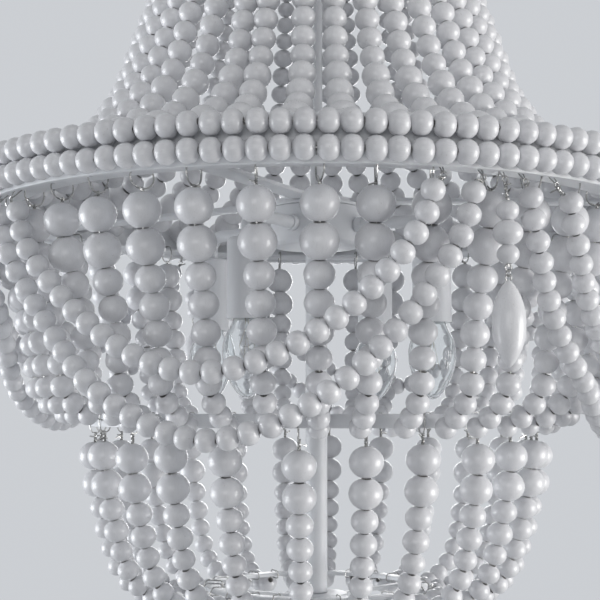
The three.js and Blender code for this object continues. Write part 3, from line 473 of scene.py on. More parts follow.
class Shader:
    """A material and short ways to wire its nodes."""

    def __init__(self, name: str, colour: Colour, roughness: float) -> None:
        """Starts a Principled surface of one colour and roughness.

        Args:
            name: The material's name.
            colour: Its base colour.
            roughness: Its roughness.
        """
        self.material = bpy.data.materials.new(name)
        self.material.use_nodes = True
        self.nodes = self.material.node_tree.nodes
        self.links = self.material.node_tree.links
        self.surface = self.nodes["Principled BSDF"]
        self.surface.inputs["Base Color"].default_value = (*colour, 1.0)
        self.surface.inputs["Roughness"].default_value = roughness

    def set(self, **values: float) -> None:
        """Sets sockets of the surface, named with _ for a space."""
        for socket, value in values.items():
            self.surface.inputs[socket.replace("_", " ")].default_value = value

    def mark(self, name: str, output: str) -> Socket:
        """A mark that the mesh carries.

        Args:
            name: The mark.
            output: Vector for a place and Fac for a number.

        Returns:
            Its value.
        """
        node = self.nodes.new("ShaderNodeAttribute")
        node.attribute_name = name
        return node.outputs[output]

    def place(self) -> Socket:
        """The place on the piece, in metres."""
        return self.nodes.new("ShaderNodeTexCoord").outputs["Object"]

    def noise(
        self, vector: Socket, scale: float, detail: float = 3.0, stretch: Triple = (1.0, 1.0, 1.0)
    ) -> Socket:
        """Noise over a place, stretched by shares along its axes.

        Args:
            vector: The place.
            scale: How fine the noise is.
            detail: Layers of finer noise in it.
            stretch: Shares along the axes.

        Returns:
            A value from zero to one.
        """
        mapping = self.nodes.new("ShaderNodeMapping")
        mapping.inputs["Scale"].default_value = stretch
        self.links.new(vector, mapping.inputs["Vector"])
        node = self.nodes.new("ShaderNodeTexNoise")
        node.inputs["Scale"].default_value = scale
        node.inputs["Detail"].default_value = detail
        self.links.new(mapping.outputs["Vector"], node.inputs["Vector"])
        return node.outputs["Fac"]

    def spread(self, value: Socket, low: float, high: float, to_low: float, to_high: float) -> Socket:
        """A value moved from one range to another and held inside it.

        Args:
            value: What is moved.
            low: Start of its range.
            high: End of its range.
            to_low: Start of the new range.
            to_high: End of the new range.

        Returns:
            The moved value.
        """
        node = self.nodes.new("ShaderNodeMapRange")
        for socket, number in zip(("From Min", "From Max", "To Min", "To Max"), (low, high, to_low, to_high)):
            node.inputs[socket].default_value = number
        self.links.new(value, node.inputs["Value"])
        return node.outputs["Result"]

    def mixed(self, share: Socket, first: Socket | Colour, second: Socket | Colour) -> Socket:
        """Two colours mixed by a share.

        Args:
            share: How much of the second colour shows.
            first: A colour or a socket.
            second: A colour or a socket.

        Returns:
            The colour.
        """
        node = self.nodes.new("ShaderNodeMix")
        node.data_type = "RGBA"
        self.links.new(share, node.inputs[0])
        for socket, colour in ((node.inputs[6], first), (node.inputs[7], second)):
            if isinstance(colour, tuple):
                socket.default_value = (*colour, 1.0)
            else:
                self.links.new(colour, socket)
        return node.outputs[2]

    def colour(self, socket: Socket) -> None:
        """Wires the base colour."""
        self.links.new(socket, self.surface.inputs["Base Color"])

    def roughness(self, socket: Socket) -> None:
        """Wires the roughness."""
        self.links.new(socket, self.surface.inputs["Roughness"])

    def bump(self, heights: Sequence[tuple[Socket, float]], distance: float) -> None:
        """Wires small surface relief.

        Args:
            heights: Values and the strength of each, laid over one another.
            distance: The relief's height at strength one, in metres.
        """
        normal = None
        for value, strength in heights:
            node = self.nodes.new("ShaderNodeBump")
            node.inputs["Strength"].default_value = strength
            node.inputs["Distance"].default_value = distance
            self.links.new(value, node.inputs["Height"])
            if normal:
                self.links.new(normal, node.inputs["Normal"])
            normal = node.outputs["Normal"]
        self.links.new(normal, self.surface.inputs["Normal"])


@dataclass(frozen=True)
class PaintedBead:
    """Satin white paint on turned wood, with the grain just felt through it."""

    paint: Colour = (0.76, 0.765, 0.785)
    shade: Colour = (0.66, 0.665, 0.69)
    # Bare wood in the pits, and the painted shade inside and round the drilled holes
    bare_wood_and_bore_shade: Colour = (0.42, 0.40, 0.38)

    def material(self) -> Material:
        """Builds the finish.

        Returns:
            The material.
        """
        shader = Shader("painted_bead", self.paint, 0.3)
        place = shader.mark("grain", "Vector")
        grain = shader.noise(place, 0.9, 4.0, (1.0, 1.0, 0.16))
        peel = shader.noise(place, 2.6, 2.0)
        pits = shader.noise(place, 0.5, 5.0)
        toned = shader.mixed(shader.mark("tone", "Fac"), self.shade, self.paint)
        grained = shader.mixed(shader.spread(grain, 0.42, 0.75, 0.0, 0.5), toned, self.shade)
        pitted = shader.mixed(shader.spread(pits, 0.66, 0.73, 0.0, 0.3), grained, self.bare_wood_and_bore_shade)
        # Darker towards and inside the drilled hole: painted shade in the hole's recess, with bare wood at
        # its edge
        edge = shader.spread(shader.mark("rim", "Fac"), 0.3, 1.0, 0.0, 0.75)
        shader.colour(shader.mixed(edge, pitted, self.bare_wood_and_bore_shade))
        shader.roughness(shader.spread(grain, 0.3, 0.7, 0.25, 0.38))
        shader.bump([(grain, 0.5), (peel, 0.35)], 0.00012)
        shader.set(Coat_Weight=0.3, Coat_Roughness=0.14, Specular_IOR_Level=0.5)
        return shader.material


@dataclass(frozen=True)
class PaintedMetal:
    """White powder coat with a fine orange peel and faint handling marks."""

    paint: Colour = (0.76, 0.775, 0.80)
    soiled: Colour = (0.66, 0.67, 0.68)

    def material(self) -> Material:
        """Builds the finish.

        Returns:
            The material.
        """
        shader = Shader("painted_metal", self.paint, 0.42)
        place = shader.place()
        clouds = shader.noise(place, 38.0, 5.0)
        peel = shader.noise(place, 950.0, 2.0)
        specks = shader.noise(place, 420.0, 4.0)
        soiled = shader.mixed(shader.spread(clouds, 0.5, 0.8, 0.0, 0.5), self.paint, self.soiled)
        shader.colour(shader.mixed(shader.spread(specks, 0.72, 0.78, 0.0, 0.4), soiled, self.soiled))
        shader.roughness(shader.spread(clouds, 0.3, 0.7, 0.38, 0.5))
        shader.bump([(peel, 0.3)], 0.00006)
        return shader.material


@dataclass(frozen=True)
class SteelWire:
    """Bright soft steel wire."""

    metal: Colour = (0.50, 0.50, 0.49)
    dull: Colour = (0.24, 0.23, 0.22)

    def material(self) -> Material:
        """Builds the finish.

        Returns:
            The material.
        """
        shader = Shader("steel_wire", self.metal, 0.28)
        drawn = shader.noise(shader.place(), 600.0, 3.0)
        shader.colour(shader.mixed(shader.spread(drawn, 0.4, 0.8, 0.0, 0.6), self.metal, self.dull))
        shader.roughness(shader.spread(drawn, 0.3, 0.7, 0.2, 0.4))
        shader.set(Metallic=1.0)
        return shader.material


@dataclass(frozen=True)
class CandleSleeve:
    """Smooth white plastic of a candle sleeve."""

    plastic: Colour = (0.80, 0.815, 0.84)
    drawn_marks: Colour = (0.73, 0.74, 0.76)

    def material(self) -> Material:
        """Builds the finish.

        Returns:
            The material.
        """
        shader = Shader("candle_sleeve", self.plastic, 0.45)
        drawn = shader.noise(shader.place(), 300.0, 3.0, (1.0, 1.0, 0.08))
        shader.colour(shader.mixed(shader.spread(drawn, 0.4, 0.8, 0.0, 0.4), self.plastic, self.drawn_marks))
        shader.roughness(shader.spread(drawn, 0.3, 0.7, 0.4, 0.52))
        shader.bump([(drawn, 0.2)], 0.00005)
        return shader.material


@dataclass(frozen=True)
class SocketPlastic:
    """Matt moulded plastic of a lamp socket."""

    plastic: Colour = (0.70, 0.70, 0.68)
    shade: Colour = (0.6, 0.6, 0.58)

    def material(self) -> Material:
        """Builds the finish.

        Returns:
            The material.
        """
        shader = Shader("socket_plastic", self.plastic, 0.55)
        grain = shader.noise(shader.place(), 1100.0, 2.0)
        shader.colour(shader.mixed(shader.spread(grain, 0.5, 0.8, 0.0, 0.5), self.plastic, self.shade))
        shader.roughness(shader.spread(grain, 0.3, 0.7, 0.5, 0.65))
        shader.bump([(grain, 0.4)], 0.00004)
        return shader.material


@dataclass(frozen=True)
class NickelCap:
    """Nickel-plated brass of a bulb's screw cap and the stem's wires."""

    metal: Colour = (0.58, 0.55, 0.49)
    worn: Colour = (0.4, 0.37, 0.32)

    def material(self) -> Material:
        """Builds the finish.

        Returns:
            The material.
        """
        shader = Shader("nickel_cap", self.metal, 0.3)
        worn = shader.noise(shader.place(), 500.0, 4.0)
        shader.colour(shader.mixed(shader.spread(worn, 0.4, 0.8, 0.0, 0.7), self.metal, self.worn))
        shader.roughness(shader.spread(worn, 0.3, 0.7, 0.22, 0.42))
        shader.set(Metallic=1.0)
        return shader.material


@dataclass(frozen=True)
class ClearGlass:
    """Thin clear glass that lets lamps through."""

    tint: Colour = (0.97, 0.985, 0.99)

    def material(self) -> Material:
        """Builds the finish.

        Returns:
            The material.
        """
        shader = Shader("clear_glass", self.tint, 0.015)
        shader.set(Transmission_Weight=1.0, IOR=1.47)
        smears = shader.noise(shader.place(), 60.0, 4.0)
        shader.roughness(shader.spread(smears, 0.45, 0.75, 0.01, 0.06))
        clear = shader.nodes.new("ShaderNodeBsdfTransparent")
        path = shader.nodes.new("ShaderNodeLightPath")
        mix = shader.nodes.new("ShaderNodeMixShader")
        shader.links.new(path.outputs["Is Shadow Ray"], mix.inputs[0])
        shader.links.new(shader.surface.outputs[0], mix.inputs[1])
        shader.links.new(clear.outputs[0], mix.inputs[2])
        shader.links.new(mix.outputs[0], shader.nodes["Material Output"].inputs["Surface"])
        return shader.material


# Beads and wires


@dataclass(frozen=True)
class BeadForm:
    """A turned bead with a drilled hole along its own Z, for a width of one.

    Attributes:
        height_share: Its height along the hole.
        fullness: 2 for a ball, and more for a barrel.
        sides: Facets round it.
        bands: Bands from rim to rim.
        rim_share: Radius of the flat rim round the hole.
        hole_share: Radius of the hole.
        mouth_share: How deep the hole is drawn.
        rim_mark: The mark on the rim's outer edge, where it is one inside the hole.
        grain_spread: How far apart the beads lie in the wood that the grain is drawn from.
        tone: Middle and spread of the beads' tones.
        tone_limits: Darkest and lightest tone.
    """

    height_share: float
    fullness: float = 2.0
    sides: int = 20
    bands: int = 10
    rim_share: float = 0.155
    hole_share: float = 0.125
    mouth_share: float = 0.035
    rim_mark: float = 0.45
    grain_spread: float = 900.0
    tone: Pair = (0.8, 0.18)
    tone_limits: Pair = (0.2, 1.0)

    def profile(self) -> np.ndarray:
        """Its closed [radius, z] outline, from the lower end of the hole over the outside and back.

        Returns:
            The corners, one to a row.
        """
        power = 2 / self.fullness
        edge = (2 * self.rim_share) ** self.fullness
        full_height = self.height_share / (1 - edge) ** (1 / self.fullness)
        start = math.asin(edge**0.5)
        t = np.linspace(start, math.pi - start, self.bands + 1)
        radius = 0.5 * np.sin(t) ** power
        z = -full_height / 2 * np.sign(np.cos(t)) * np.abs(np.cos(t)) ** power
        mouth = self.height_share / 2 - self.mouth_share
        return np.array([[self.hole_share, -mouth], *zip(radius, z), [self.hole_share, mouth]])

    def thread(
        self,
        shells: Shells,
        centres: np.ndarray,
        axes: np.ndarray,
        widths: np.ndarray,
        chance: Chance,
        wobble: float = 0.03,
    ) -> None:
        """Adds a bead at each centre.

        Args:
            shells: Where they go.
            centres: One place to a row.
            axes: The direction of each hole.
            widths: The width of each bead.
            chance: Draws each bead's turn, tilt and tone.
            wobble: How far the holes lean, in radians.
        """
        outline = self.profile()
        angle = 2 * np.pi * np.arange(self.sides) / self.sides
        radius, height = outline[:, :1], outline[:, 1:]
        unit_points = np.stack(
            [radius * np.cos(angle), radius * np.sin(angle), np.repeat(height, self.sides, axis=1)], axis=-1
        ).reshape(-1, 3)
        faces = ring_faces(len(outline), self.sides, wrap=True)
        rim_rows = np.zeros(len(outline))
        rim_rows[[0, -1]], rim_rows[[1, -2]] = 1.0, self.rim_mark
        count = len(centres)
        axes = unit(axes + chance.normal(0, wobble, (count, 3)))
        helper = np.where(np.abs(axes[:, 2:]) < 0.8, [[0.0, 0.0, 1.0]], [[1.0, 0.0, 0.0]])
        side = unit(np.cross(helper, axes))
        spin = chance.uniform(0, 2 * np.pi, (count, 1))
        first = np.cos(spin) * side + np.sin(spin) * np.cross(axes, side)
        second = np.cross(axes, first)
        turned = (
            unit_points[None, :, :1] * first[:, None]
            + unit_points[None, :, 1:2] * second[:, None]
            + unit_points[None, :, 2:] * axes[:, None]
        )
        sizes = np.asarray(widths, float)[:, None, None]
        points = centres[:, None] + turned * sizes
        grain = unit_points[None] * sizes + chance.uniform(0, self.grain_spread, (count, 1, 3))
        tone = np.repeat(np.clip(chance.normal(*self.tone, count), *self.tone_limits), len(unit_points))
        quads = faces[None] + (np.arange(count) * len(unit_points))[:, None, None]
        shells.add(
            points.reshape(-1, 3),
            quads.reshape(-1, 4),
            marks={
                "grain": grain.reshape(-1, 3),
                "tone": tone,
                "rim": np.tile(np.repeat(rim_rows, self.sides), count),
            },
        )


SWAG_BEAD = BeadForm(0.882, fullness=2.1)
BAND_BEAD = BeadForm(0.872, fullness=2.2, sides=24, bands=12)
SMALL_BEAD = 16.6
SMALL_BEAD_SHARE = 0.87
SHARE_PER_MILLIMETRE = 0.0045
LARGE_BEAD = 19.0


def bead_height(width: float) -> float:
    """A string bead's height. The small ones are flatter than the large ones."""
    return width * (SMALL_BEAD_SHARE + (width - SMALL_BEAD) * SHARE_PER_MILLIMETRE)


@dataclass(frozen=True)
class Threading:
    """Beads set one against the next along a line."""

    line: np.ndarray
    widths: Sequence[float]
    height_share: float = 1.0
    start: float = 0.0
    play: float = 0.3

    def places(self) -> tuple[np.ndarray, np.ndarray]:
        """The centre and the hole's direction of each bead that fits on the line.

        Returns:
            The centres and the directions, one to a row.
        """
        run = np.concatenate([[0], np.cumsum(np.linalg.norm(np.diff(self.line, axis=0), axis=1))])
        heights = np.array([bead_height(width) for width in self.widths]) * self.height_share
        index = int(np.searchsorted(run, self.start + heights[0] / 2))
        centres, axes = [], []
        for i, height in enumerate(heights):
            if i:
                gap = (heights[i - 1] + height) / 2 + self.play
                ahead = np.linalg.norm(self.line[index:] - self.line[index], axis=1)
                beyond = np.nonzero(ahead >= gap)[0]
                if not len(beyond):
                    break
                index += int(beyond[0])
            if i and run[-1] - run[index] < height / 2:
                break
            reach = max(int(height / 2 / (run[1] - run[0])), 1)
            first, last = max(index - reach, 0), min(index + reach, len(self.line) - 1)
            centres.append(self.line[index])
            axes.append(self.line[last] - self.line[first])
        return np.array(centres), np.array(axes)


def string_beads(
    shells: Shells,
    centres: np.ndarray,
    axes: np.ndarray,
    widths: Sequence[float],
    chance: Chance,
    flatness: float = 1.0,
) -> None:
    """Adds a string's beads, with a finer mesh on the large ones.

    Args:
        shells: Where they go.
        centres: One place to a bead.
        axes: The direction of each hole.
        widths: Widths from the first bead on.
        chance: Draws each bead's turn, tilt and tone.
        flatness: The beads' height as a share of the usual one.
    """
    sizes = np.array(widths[: len(centres)])
    for width in sorted(set(sizes)):
        chosen = sizes == width
        sides, bands = (26, 12) if width > LARGE_BEAD else (20, 10)
        form = BeadForm(bead_height(width) / width * flatness, sides=sides, bands=bands)
        worn = sizes[chosen] * chance.normal(1.0, 0.006, chosen.sum())
        form.thread(shells, centres[chosen], axes[chosen], worn, chance, 0.05)


@dataclass(frozen=True)
class Wire:
    """The soft steel wire of the hooks and strings."""

    radius: float = 0.62
    twist_radius: float = 0.8
    string_radius: float = 0.5
    sides: int = 6

    def run(self, shells: Shells, corners: Sequence[Sequence[float]]) -> None:
        """Adds a bent wire through some places."""
        tube(shells, smooth(corners, 0.9), self.radius, self.sides)

    def thin(self, shells: Shells, line: np.ndarray, sides: int = 5, loop: bool = False) -> None:
        """Adds the thinner wire that the beads are strung on, along a line."""
        tube(shells, line, self.string_radius, sides, loop)

    def twist(self, shells: Shells, top: np.ndarray, foot: np.ndarray, turns: float, phase: float) -> None:
        """Adds two ends twisted round each other between two places.

        Args:
            shells: Where it goes.
            top: Upper end.
            foot: Lower end.
            turns: How often they go round.
            phase: The angle that they start at, in radians.
        """
        axis = unit(foot - top)
        side = unit(np.cross(axis, [0.3, 0.9, 0.31]))
        other = np.cross(axis, side)
        share = np.linspace(0, 1, int(turns * 8) + 2)[:, None]
        angle = 2 * np.pi * turns * share + phase
        for half in (0.0, math.pi):
            coil = np.cos(angle + half) * side + np.sin(angle + half) * other
            line = top + (foot - top) * share + coil * self.twist_radius
            tube(shells, line, self.radius, 5)

    def stray(self, shells: Shells, root: np.ndarray, chance: Chance) -> None:
        """Adds one or two cut ends that stick out of a knot.

        Args:
            shells: Where it goes.
            root: Where the ends leave the knot.
            chance: Draws their number and bends.
        """
        for _ in range(int(chance.integers(1, 3))):
            way = unit(chance.normal(0, 1, 3) * np.array([1.0, 1.0, 0.35]))
            length = chance.uniform(3.5, 8.0)
            bend = chance.normal(0, 0.9, 3)
            self.run(shells, [root, root + way * length * 0.5 + bend * 0.5, root + way * length + bend])


WIRE = Wire()


@dataclass(frozen=True)
class Paints:
    """The finishes of one chandelier, built once."""

    bead: Finish
    metal: Finish
    wire: Finish
    sleeve: Finish
    socket: Finish
    cap: Finish
    glass: Finish

    @classmethod
    def mixed(cls) -> "Paints":
        """Builds every finish.

        Returns:
            The finishes.
        """
        return cls(
            bead=Finish(PaintedBead().material(), Slot.PAINTED_BEAD),
            metal=Finish(PaintedMetal().material(), Slot.PAINTED_METAL),
            wire=Finish(SteelWire().material()),
            sleeve=Finish(CandleSleeve().material(), Slot.CANDLE_SLEEVE),
            socket=Finish(SocketPlastic().material(), Slot.SOCKET_PLASTIC),
            cap=Finish(NickelCap().material()),
            glass=Finish(ClearGlass().material(), Slot.CLEAR_GLASS),
        )


# Ceiling fixing and chain


@dataclass
class CeilingFixing:
    """The bracket, canopy, nipple and collar at the ceiling."""

    paints: Paints
    bracket: Triple = (96.0, 20.0, 3.0)
    screw_place: float = 32.0
    canopy_radius: float = 62.0
    canopy_height: float = 28.0
    wall: float = 1.5
    rim_roll: float = 0.9
    nipple_radius: float = 5.0
    collar_radius: float = 9.0
    collar_top: float = -28.3
    collar_foot: float = -38.3
    eye_z: float = -46.2

    def build(self) -> None:
        """Builds and settles its pieces."""
        self.make_bracket()
        self.make_canopy()
        self.make_nipple()
        self.make_collar()

    def make_bracket(self) -> None:
        """The flat bar with its two fixing screws."""
        shells = Shells()
        length, width, thickness = self.bracket
        half = length / 2
        bar(shells, [(-half, 0), (-half, -thickness), (half, -thickness), (half, 0)], width, BAY_ANGLE)
        head = [(0, -thickness - 2.4), (2.6, -thickness - 2.2), (4.2, -thickness), (0, -thickness)]
        for side in (-1, 1):
            turn(shells, rounded(head, 0.8, closed=False), 20, (side * self.screw_place, 0.0))
        shells.settle("ceiling_bracket_plate", self.paints.metal, CEILING_BODY, "ceiling_bracket")

    def make_canopy(self) -> None:
        """The spun cup with its rolled rim."""
        shares = [(1.0, 0.0), (0.995, 0.12), (0.955, 0.42), (0.82, 0.68)]
        shares += [(0.6, 0.88), (0.4, 0.97), (0.25, 1.0)]
        outer = smooth([(self.canopy_radius * r, -self.canopy_height * d) for r, d in shares], 2.5)
        radius, height = self.canopy_radius - self.wall, self.canopy_height - self.wall
        inner = smooth([(radius * r, -height * d) for r, d in shares], 2.5)[::-1]
        hole = self.nipple_radius + 0.3
        profile = [*outer, (hole, -self.canopy_height), (hole, -height), *inner]
        shells = Shells()
        turn(shells, [tuple(p) for p in profile], 72)
        roll = self.rim_roll
        tube(shells, circle((0, 0, -1.0), FRONT, RIGHT, self.canopy_radius - roll, 96), roll, 8, loop=True)
        shells.settle("canopy_cup", self.paints.metal, CEILING_BODY, "canopy")

    def make_nipple(self) -> None:
        """The threaded tube through the canopy."""
        pitch, top, foot = 1.0, -3.3, -35.0
        profile: list[Pair] = [(0, foot)]
        for step in range(int((top - foot) / pitch)):
            z = foot + step * pitch
            profile += [(self.nipple_radius - 0.45, z), (self.nipple_radius, z + pitch / 2)]
        profile += [(self.nipple_radius - 0.45, top), (0, top)]
        shells = Shells()
        turn(shells, profile, 24)
        shells.settle("canopy_nipple_thread", self.paints.cap, CEILING_BODY, "canopy_nipple")

    def make_collar(self) -> None:
        """The screw collar with the eye that the chain hangs on."""
        bore, floor = self.nipple_radius + 0.3, self.collar_top - 7.0
        radius = self.collar_radius
        foot, top = self.collar_foot, self.collar_top
        profile = [(0, foot), (radius * 0.8, foot), (radius, foot + 2.0), (radius, foot + 4.0)]
        profile += [(radius - 0.7, foot + 4.6), (radius, foot + 5.2), (radius, top)]
        profile += [(bore, top), (bore, floor), (0, floor)]
        shells = Shells()
        turn(shells, rounded(profile, 0.7, closed=False), 40)
        add_eye(shells, self.eye_z)
        shells.settle("collar_eye", self.paints.metal, CEILING_BODY, "collar_loop")


def add_eye(shells: Shells, z: float, radius: float = 9.0, wire: float = 2.2) -> None:
    """Adds an eye of round wire that stands in the XZ plane."""
    tube(shells, circle((0, 0, z), UP, RIGHT, radius, 48), wire, 14, loop=True)


@dataclass
class Chain:
    """Three oval links and the eye on top of the rod."""

    paints: Paints
    seats: Triple = (-50.7, -78.4, -106.1)
    wire: float = 2.0
    weld: float = 0.25
    half_width: float = 7.0
    straight: float = 18.0
    eye_z: float = -142.6
    neck_radius: float = 8.0
    neck_top: float = -150.5
    neck_foot: float = -164.5
    rod_bore: float = 5.3

    def build(self) -> None:
        """Builds and settles its pieces."""
        for index, top in enumerate(self.seats):
            self.make_link(index, top)
        self.make_top_loop()

    def make_link(self, index: int, top: float) -> None:
        """One link, with the small bulge of its weld on one side.

        Args:
            index: Which link it is, from the top.
            top: Its upper edge's middle.
        """
        flat = np.array([1.0, 0.0, 0.0] if index % 2 else [0.0, 1.0, 0.0])
        bend = np.linspace(0, np.pi, 17)
        upper = np.stack([np.cos(bend), np.sin(bend)], axis=1) * self.half_width
        lower = -upper - [0, self.straight]
        side = np.linspace(0, 1, 8)[1:-1, None]
        left = upper[-1] + (lower[0] - upper[-1]) * side
        right = lower[-1] + (upper[0] - lower[-1]) * side
        loop = np.concatenate([upper, left, lower, right])
        line = loop[:, :1] * flat + np.outer(loop[:, 1] + top - self.half_width, UP)
        radii = np.full(len(line), self.wire)
        radii[len(upper) + 2 : len(upper) + 4] += self.weld
        shells = Shells()
        tube(shells, line, radii, 14, loop=True)
        node = f"chain_link_{index + 1}"
        shells.settle(f"{node}_wire", self.paints.metal, f"link_{index + 1}", node)

    def make_top_loop(self) -> None:
        """The eye and neck that the rod screws into."""
        top, foot, radius = self.neck_top, self.neck_foot, self.neck_radius
        floor = foot + 8.0
        profile = [(0, top), (radius * 0.75, top), (radius, top - 2.5), (radius, foot + 5.0)]
        profile += [(radius - 0.8, foot + 4.2), (radius, foot + 3.4), (radius, foot)]
        profile += [(self.rod_bore, foot), (self.rod_bore, floor), (0, floor)]
        shells = Shells()
        turn(shells, rounded(profile, 0.7, closed=False), 36)
        add_eye(shells, self.eye_z)
        shells.settle("top_eye", self.paints.metal, LIGHT_BODY, "top_loop")


# Frame


@dataclass
class MetalFrame:
    """The rod, rings, hoop, hub and post that carry the strings and lights."""

    paints: Paints
    rod_radius: float = 5.0
    rod_hole: float = 5.3
    rod_ends: Pair = (-156.8, -516.1)
    crown_ring_z: float = CROWN_RING_Z
    crown_hole_radius: float = 112.0
    hoop_z: float = HOOP_Z
    plate_radius: float = 277.0
    plate_height: float = 34.3
    plate_wall: float = 3.5
    plate_fold: float = 4.5
    plate_foot_lift: float = 1.9
    flange_inner: float = 247.0
    flange_lift: float = 4.8
    flange_thickness: float = 2.5
    hook_holes: Pair = (260.5, 267.5)
    cover_top: float = -460.3
    cup_foot: float = -496.1
    hub_radius: float = 38.0
    spoke_width: float = 20.0
    post_ends: Pair = (-496.4, -780.0)
    post_radius: float = 9.0
    lower_ring_z: float = LOWER_RING_Z
    lower_ring_radius: float = 184.0
    lower_ring_width: float = 7.0
    lower_ring_height: float = 10.0
    lower_ring_wall: float = 1.8
    bottom_top: float = -773.3
    bottom_spoke_turn: float = 33.0

    def build(self) -> None:
        """Builds and settles its pieces."""
        for make in (
            self.make_rod,
            self.make_crown_ring,
            self.make_hoop,
            self.make_spider,
            self.make_hub,
            self.make_post,
            self.make_lower_ring,
            self.make_bottom_frame,
            self.make_finial,
        ):
            make()

    def keep(self, shells: Shells, name: str, node: str) -> Piece:
        """Makes one painted piece of the frame."""
        return shells.settle(name, self.paints.metal, LIGHT_BODY, node)

    def spin(self, name: str, node: str, profile: Rows, sides: int) -> Piece:
        """Makes one painted piece of a single turned shell.

        Args:
            name: The piece's name.
            node: The node that it stands for.
            profile: The shell's [radius, z] corners.
            sides: Facets round it.

        Returns:
            The piece.
        """
        shells = Shells()
        turn(shells, profile, sides)
        return self.keep(shells, name, node)

    def make_rod(self) -> None:
        """The rod from the top eye down into the post."""
        top, foot = self.rod_ends
        profile = [(0, foot), (self.rod_radius, foot), (self.rod_radius, top), (0, top)]
        shells = Shells()
        turn(shells, rounded(profile, 0.5, closed=False), 32)
        nut_top = self.crown_ring_z - 0.1
        turn(shells, [(5.0, nut_top - 4.7), (9.5, nut_top - 4.7), (9.5, nut_top), (5.0, nut_top)], 6)
        self.keep(shells, "rod", "upper_rod")

    def make_crown_ring(self) -> None:
        """The small ring that the crown hangs on, with its spokes and collar."""
        z = self.crown_ring_z
        profile = [(101, z + 3), (101, z), (121.4, z), (121.4, z - 12), (123, z - 12), (123, z + 3)]
        ring = self.spin("crown_ring_spun", "crown_ring", rounded(profile, 0.6), 144)
        spokes = Shells()
        turn(spokes, rounded([(self.rod_hole, z), (12, z), (12, z + 8), (self.rod_hole, z + 8)], 0.8), 36)
        low, high = z + 0.2, z + 2.8
        for quarter in range(BAYS):
            bar(spokes, [(8.6, low), (104, low), (104, high), (8.6, high)], 12.0, quarter * BAY_ANGLE)
        self.keep(spokes, "crown_ring_spokes", "crown_ring")
        angles = (np.arange(STRINGS) + 0.5) * HOOK_ANGLE
        drill(ring, self.bits([polar(self.crown_hole_radius, a) for a in angles], 1.3, z - 1, z + 4))

    def bits(self, places: Sequence[np.ndarray], radius: float, low: float, high: float) -> Shells:
        """One upright drill bit at each place.

        Args:
            places: Where the holes are.
            radius: Their radius.
            low: Their foot.
            high: Their top.

        Returns:
            The bits.
        """
        shells = Shells()
        for place in places:
            turn(shells, [(0, low), (radius, low), (radius, high), (0, high)], 10, place[:2])
        return shells

    def make_hoop(self) -> None:
        """The main hoop: an upright plate with a channel-shaped flange, drilled for the hooks."""
        z = self.hoop_z
        flange = z + self.flange_lift
        top = flange + self.flange_thickness
        outer, inner = self.plate_radius, self.flange_inner
        wall, fold = outer - self.plate_wall, outer - self.plate_fold
        foot, head = z + self.plate_foot_lift, z + self.plate_height
        profile = [(outer, foot), (outer, head), (wall, head), (wall, top)]
        profile += [(inner, top), (inner, flange), (fold, flange), (fold, foot)]
        hoop = self.spin("hoop_rolled", "hoop", rounded(profile, 0.6), 240)
        places = [polar(radius, i * HOOK_ANGLE) for i in range(STRINGS) for radius in self.hook_holes]
        drill(hoop, self.bits(places, 1.4, flange - 1, top + 1))

    def make_spider(self) -> None:
        """The plate on the hub with four bars out to the hoop."""
        foot = self.cover_top + 0.3
        seat = self.hoop_z + self.flange_lift + self.flange_thickness + 0.3
        lower = [(8.3, foot), (self.hub_radius, foot), (246.5, seat), (268.5, seat)]
        outline = lower + [(radius, z + 3) for radius, z in reversed(lower)]
        shells = Shells()
        low, high = foot - 0.15, foot + 3.15
        screw = [(0, seat + 3), (3.6, seat + 3), (3.3, seat + 4.6), (1.8, seat + 5.4), (0, seat + 5.5)]
        turn(shells, rounded([(self.rod_hole, low), (34, low), (34, high), (self.rod_hole, high)], 0.6), 60)
        for quarter in range(BAYS):
            degrees = quarter * BAY_ANGLE
            bar(shells, outline, self.spoke_width, degrees, 0.6)
            for radius in (252.0, 262.0):
                turn(shells, screw, 18, polar(radius, degrees)[:2])
        self.keep(shells, "spoke_spider_bars", "spoke_spider")

    def make_hub(self) -> None:
        """The cup that holds the wiring, and its lid."""
        top, foot, radius = self.cover_top - 3.3, self.cup_foot, self.hub_radius
        cup = [(self.rod_hole, foot), (radius - 3, foot), (radius, foot + 3), (radius, top)]
        cup += [(radius - 2, top), (radius - 2, foot + 4), (radius - 4, foot + 2), (self.rod_hole, foot + 2)]
        self.spin("hub_cup_spun", "hub_cup", rounded(cup, 1.2, 3), 72)
        low, high = top + 0.3, top + 3.3
        lid = [(self.rod_hole, low), (radius, low), (radius, high), (self.rod_hole, high)]
        self.spin("hub_lid", "hub_cover", rounded(lid, 0.9, 3), 72)

    def make_post(self) -> None:
        """The thick post from the hub to the foot disc."""
        top, foot = self.post_ends
        radius = self.post_radius
        profile = [(0, top - 20), (self.rod_hole, top - 20), (self.rod_hole, top), (radius, top)]
        profile += [(radius, foot), (3.8, foot), (3.8, foot + 12), (0, foot + 12)]
        self.spin("post_tube", "lower_post", rounded(profile, 0.7, closed=False), 48)

    def make_lower_ring(self) -> None:
        """The channel ring between the curtain and the basket."""
        z, outer, wall = self.lower_ring_z, self.lower_ring_radius, self.lower_ring_wall
        inner, top = outer - self.lower_ring_width, z + self.lower_ring_height
        profile = [(outer, z), (outer, top), (inner, top), (inner, top - wall)]
        profile += [(outer - wall, top - wall), (outer - wall, z + wall), (inner, z + wall), (inner, z)]
        self.spin("lower_ring_rolled", "lower_ring", rounded(profile, 0.6), 192)

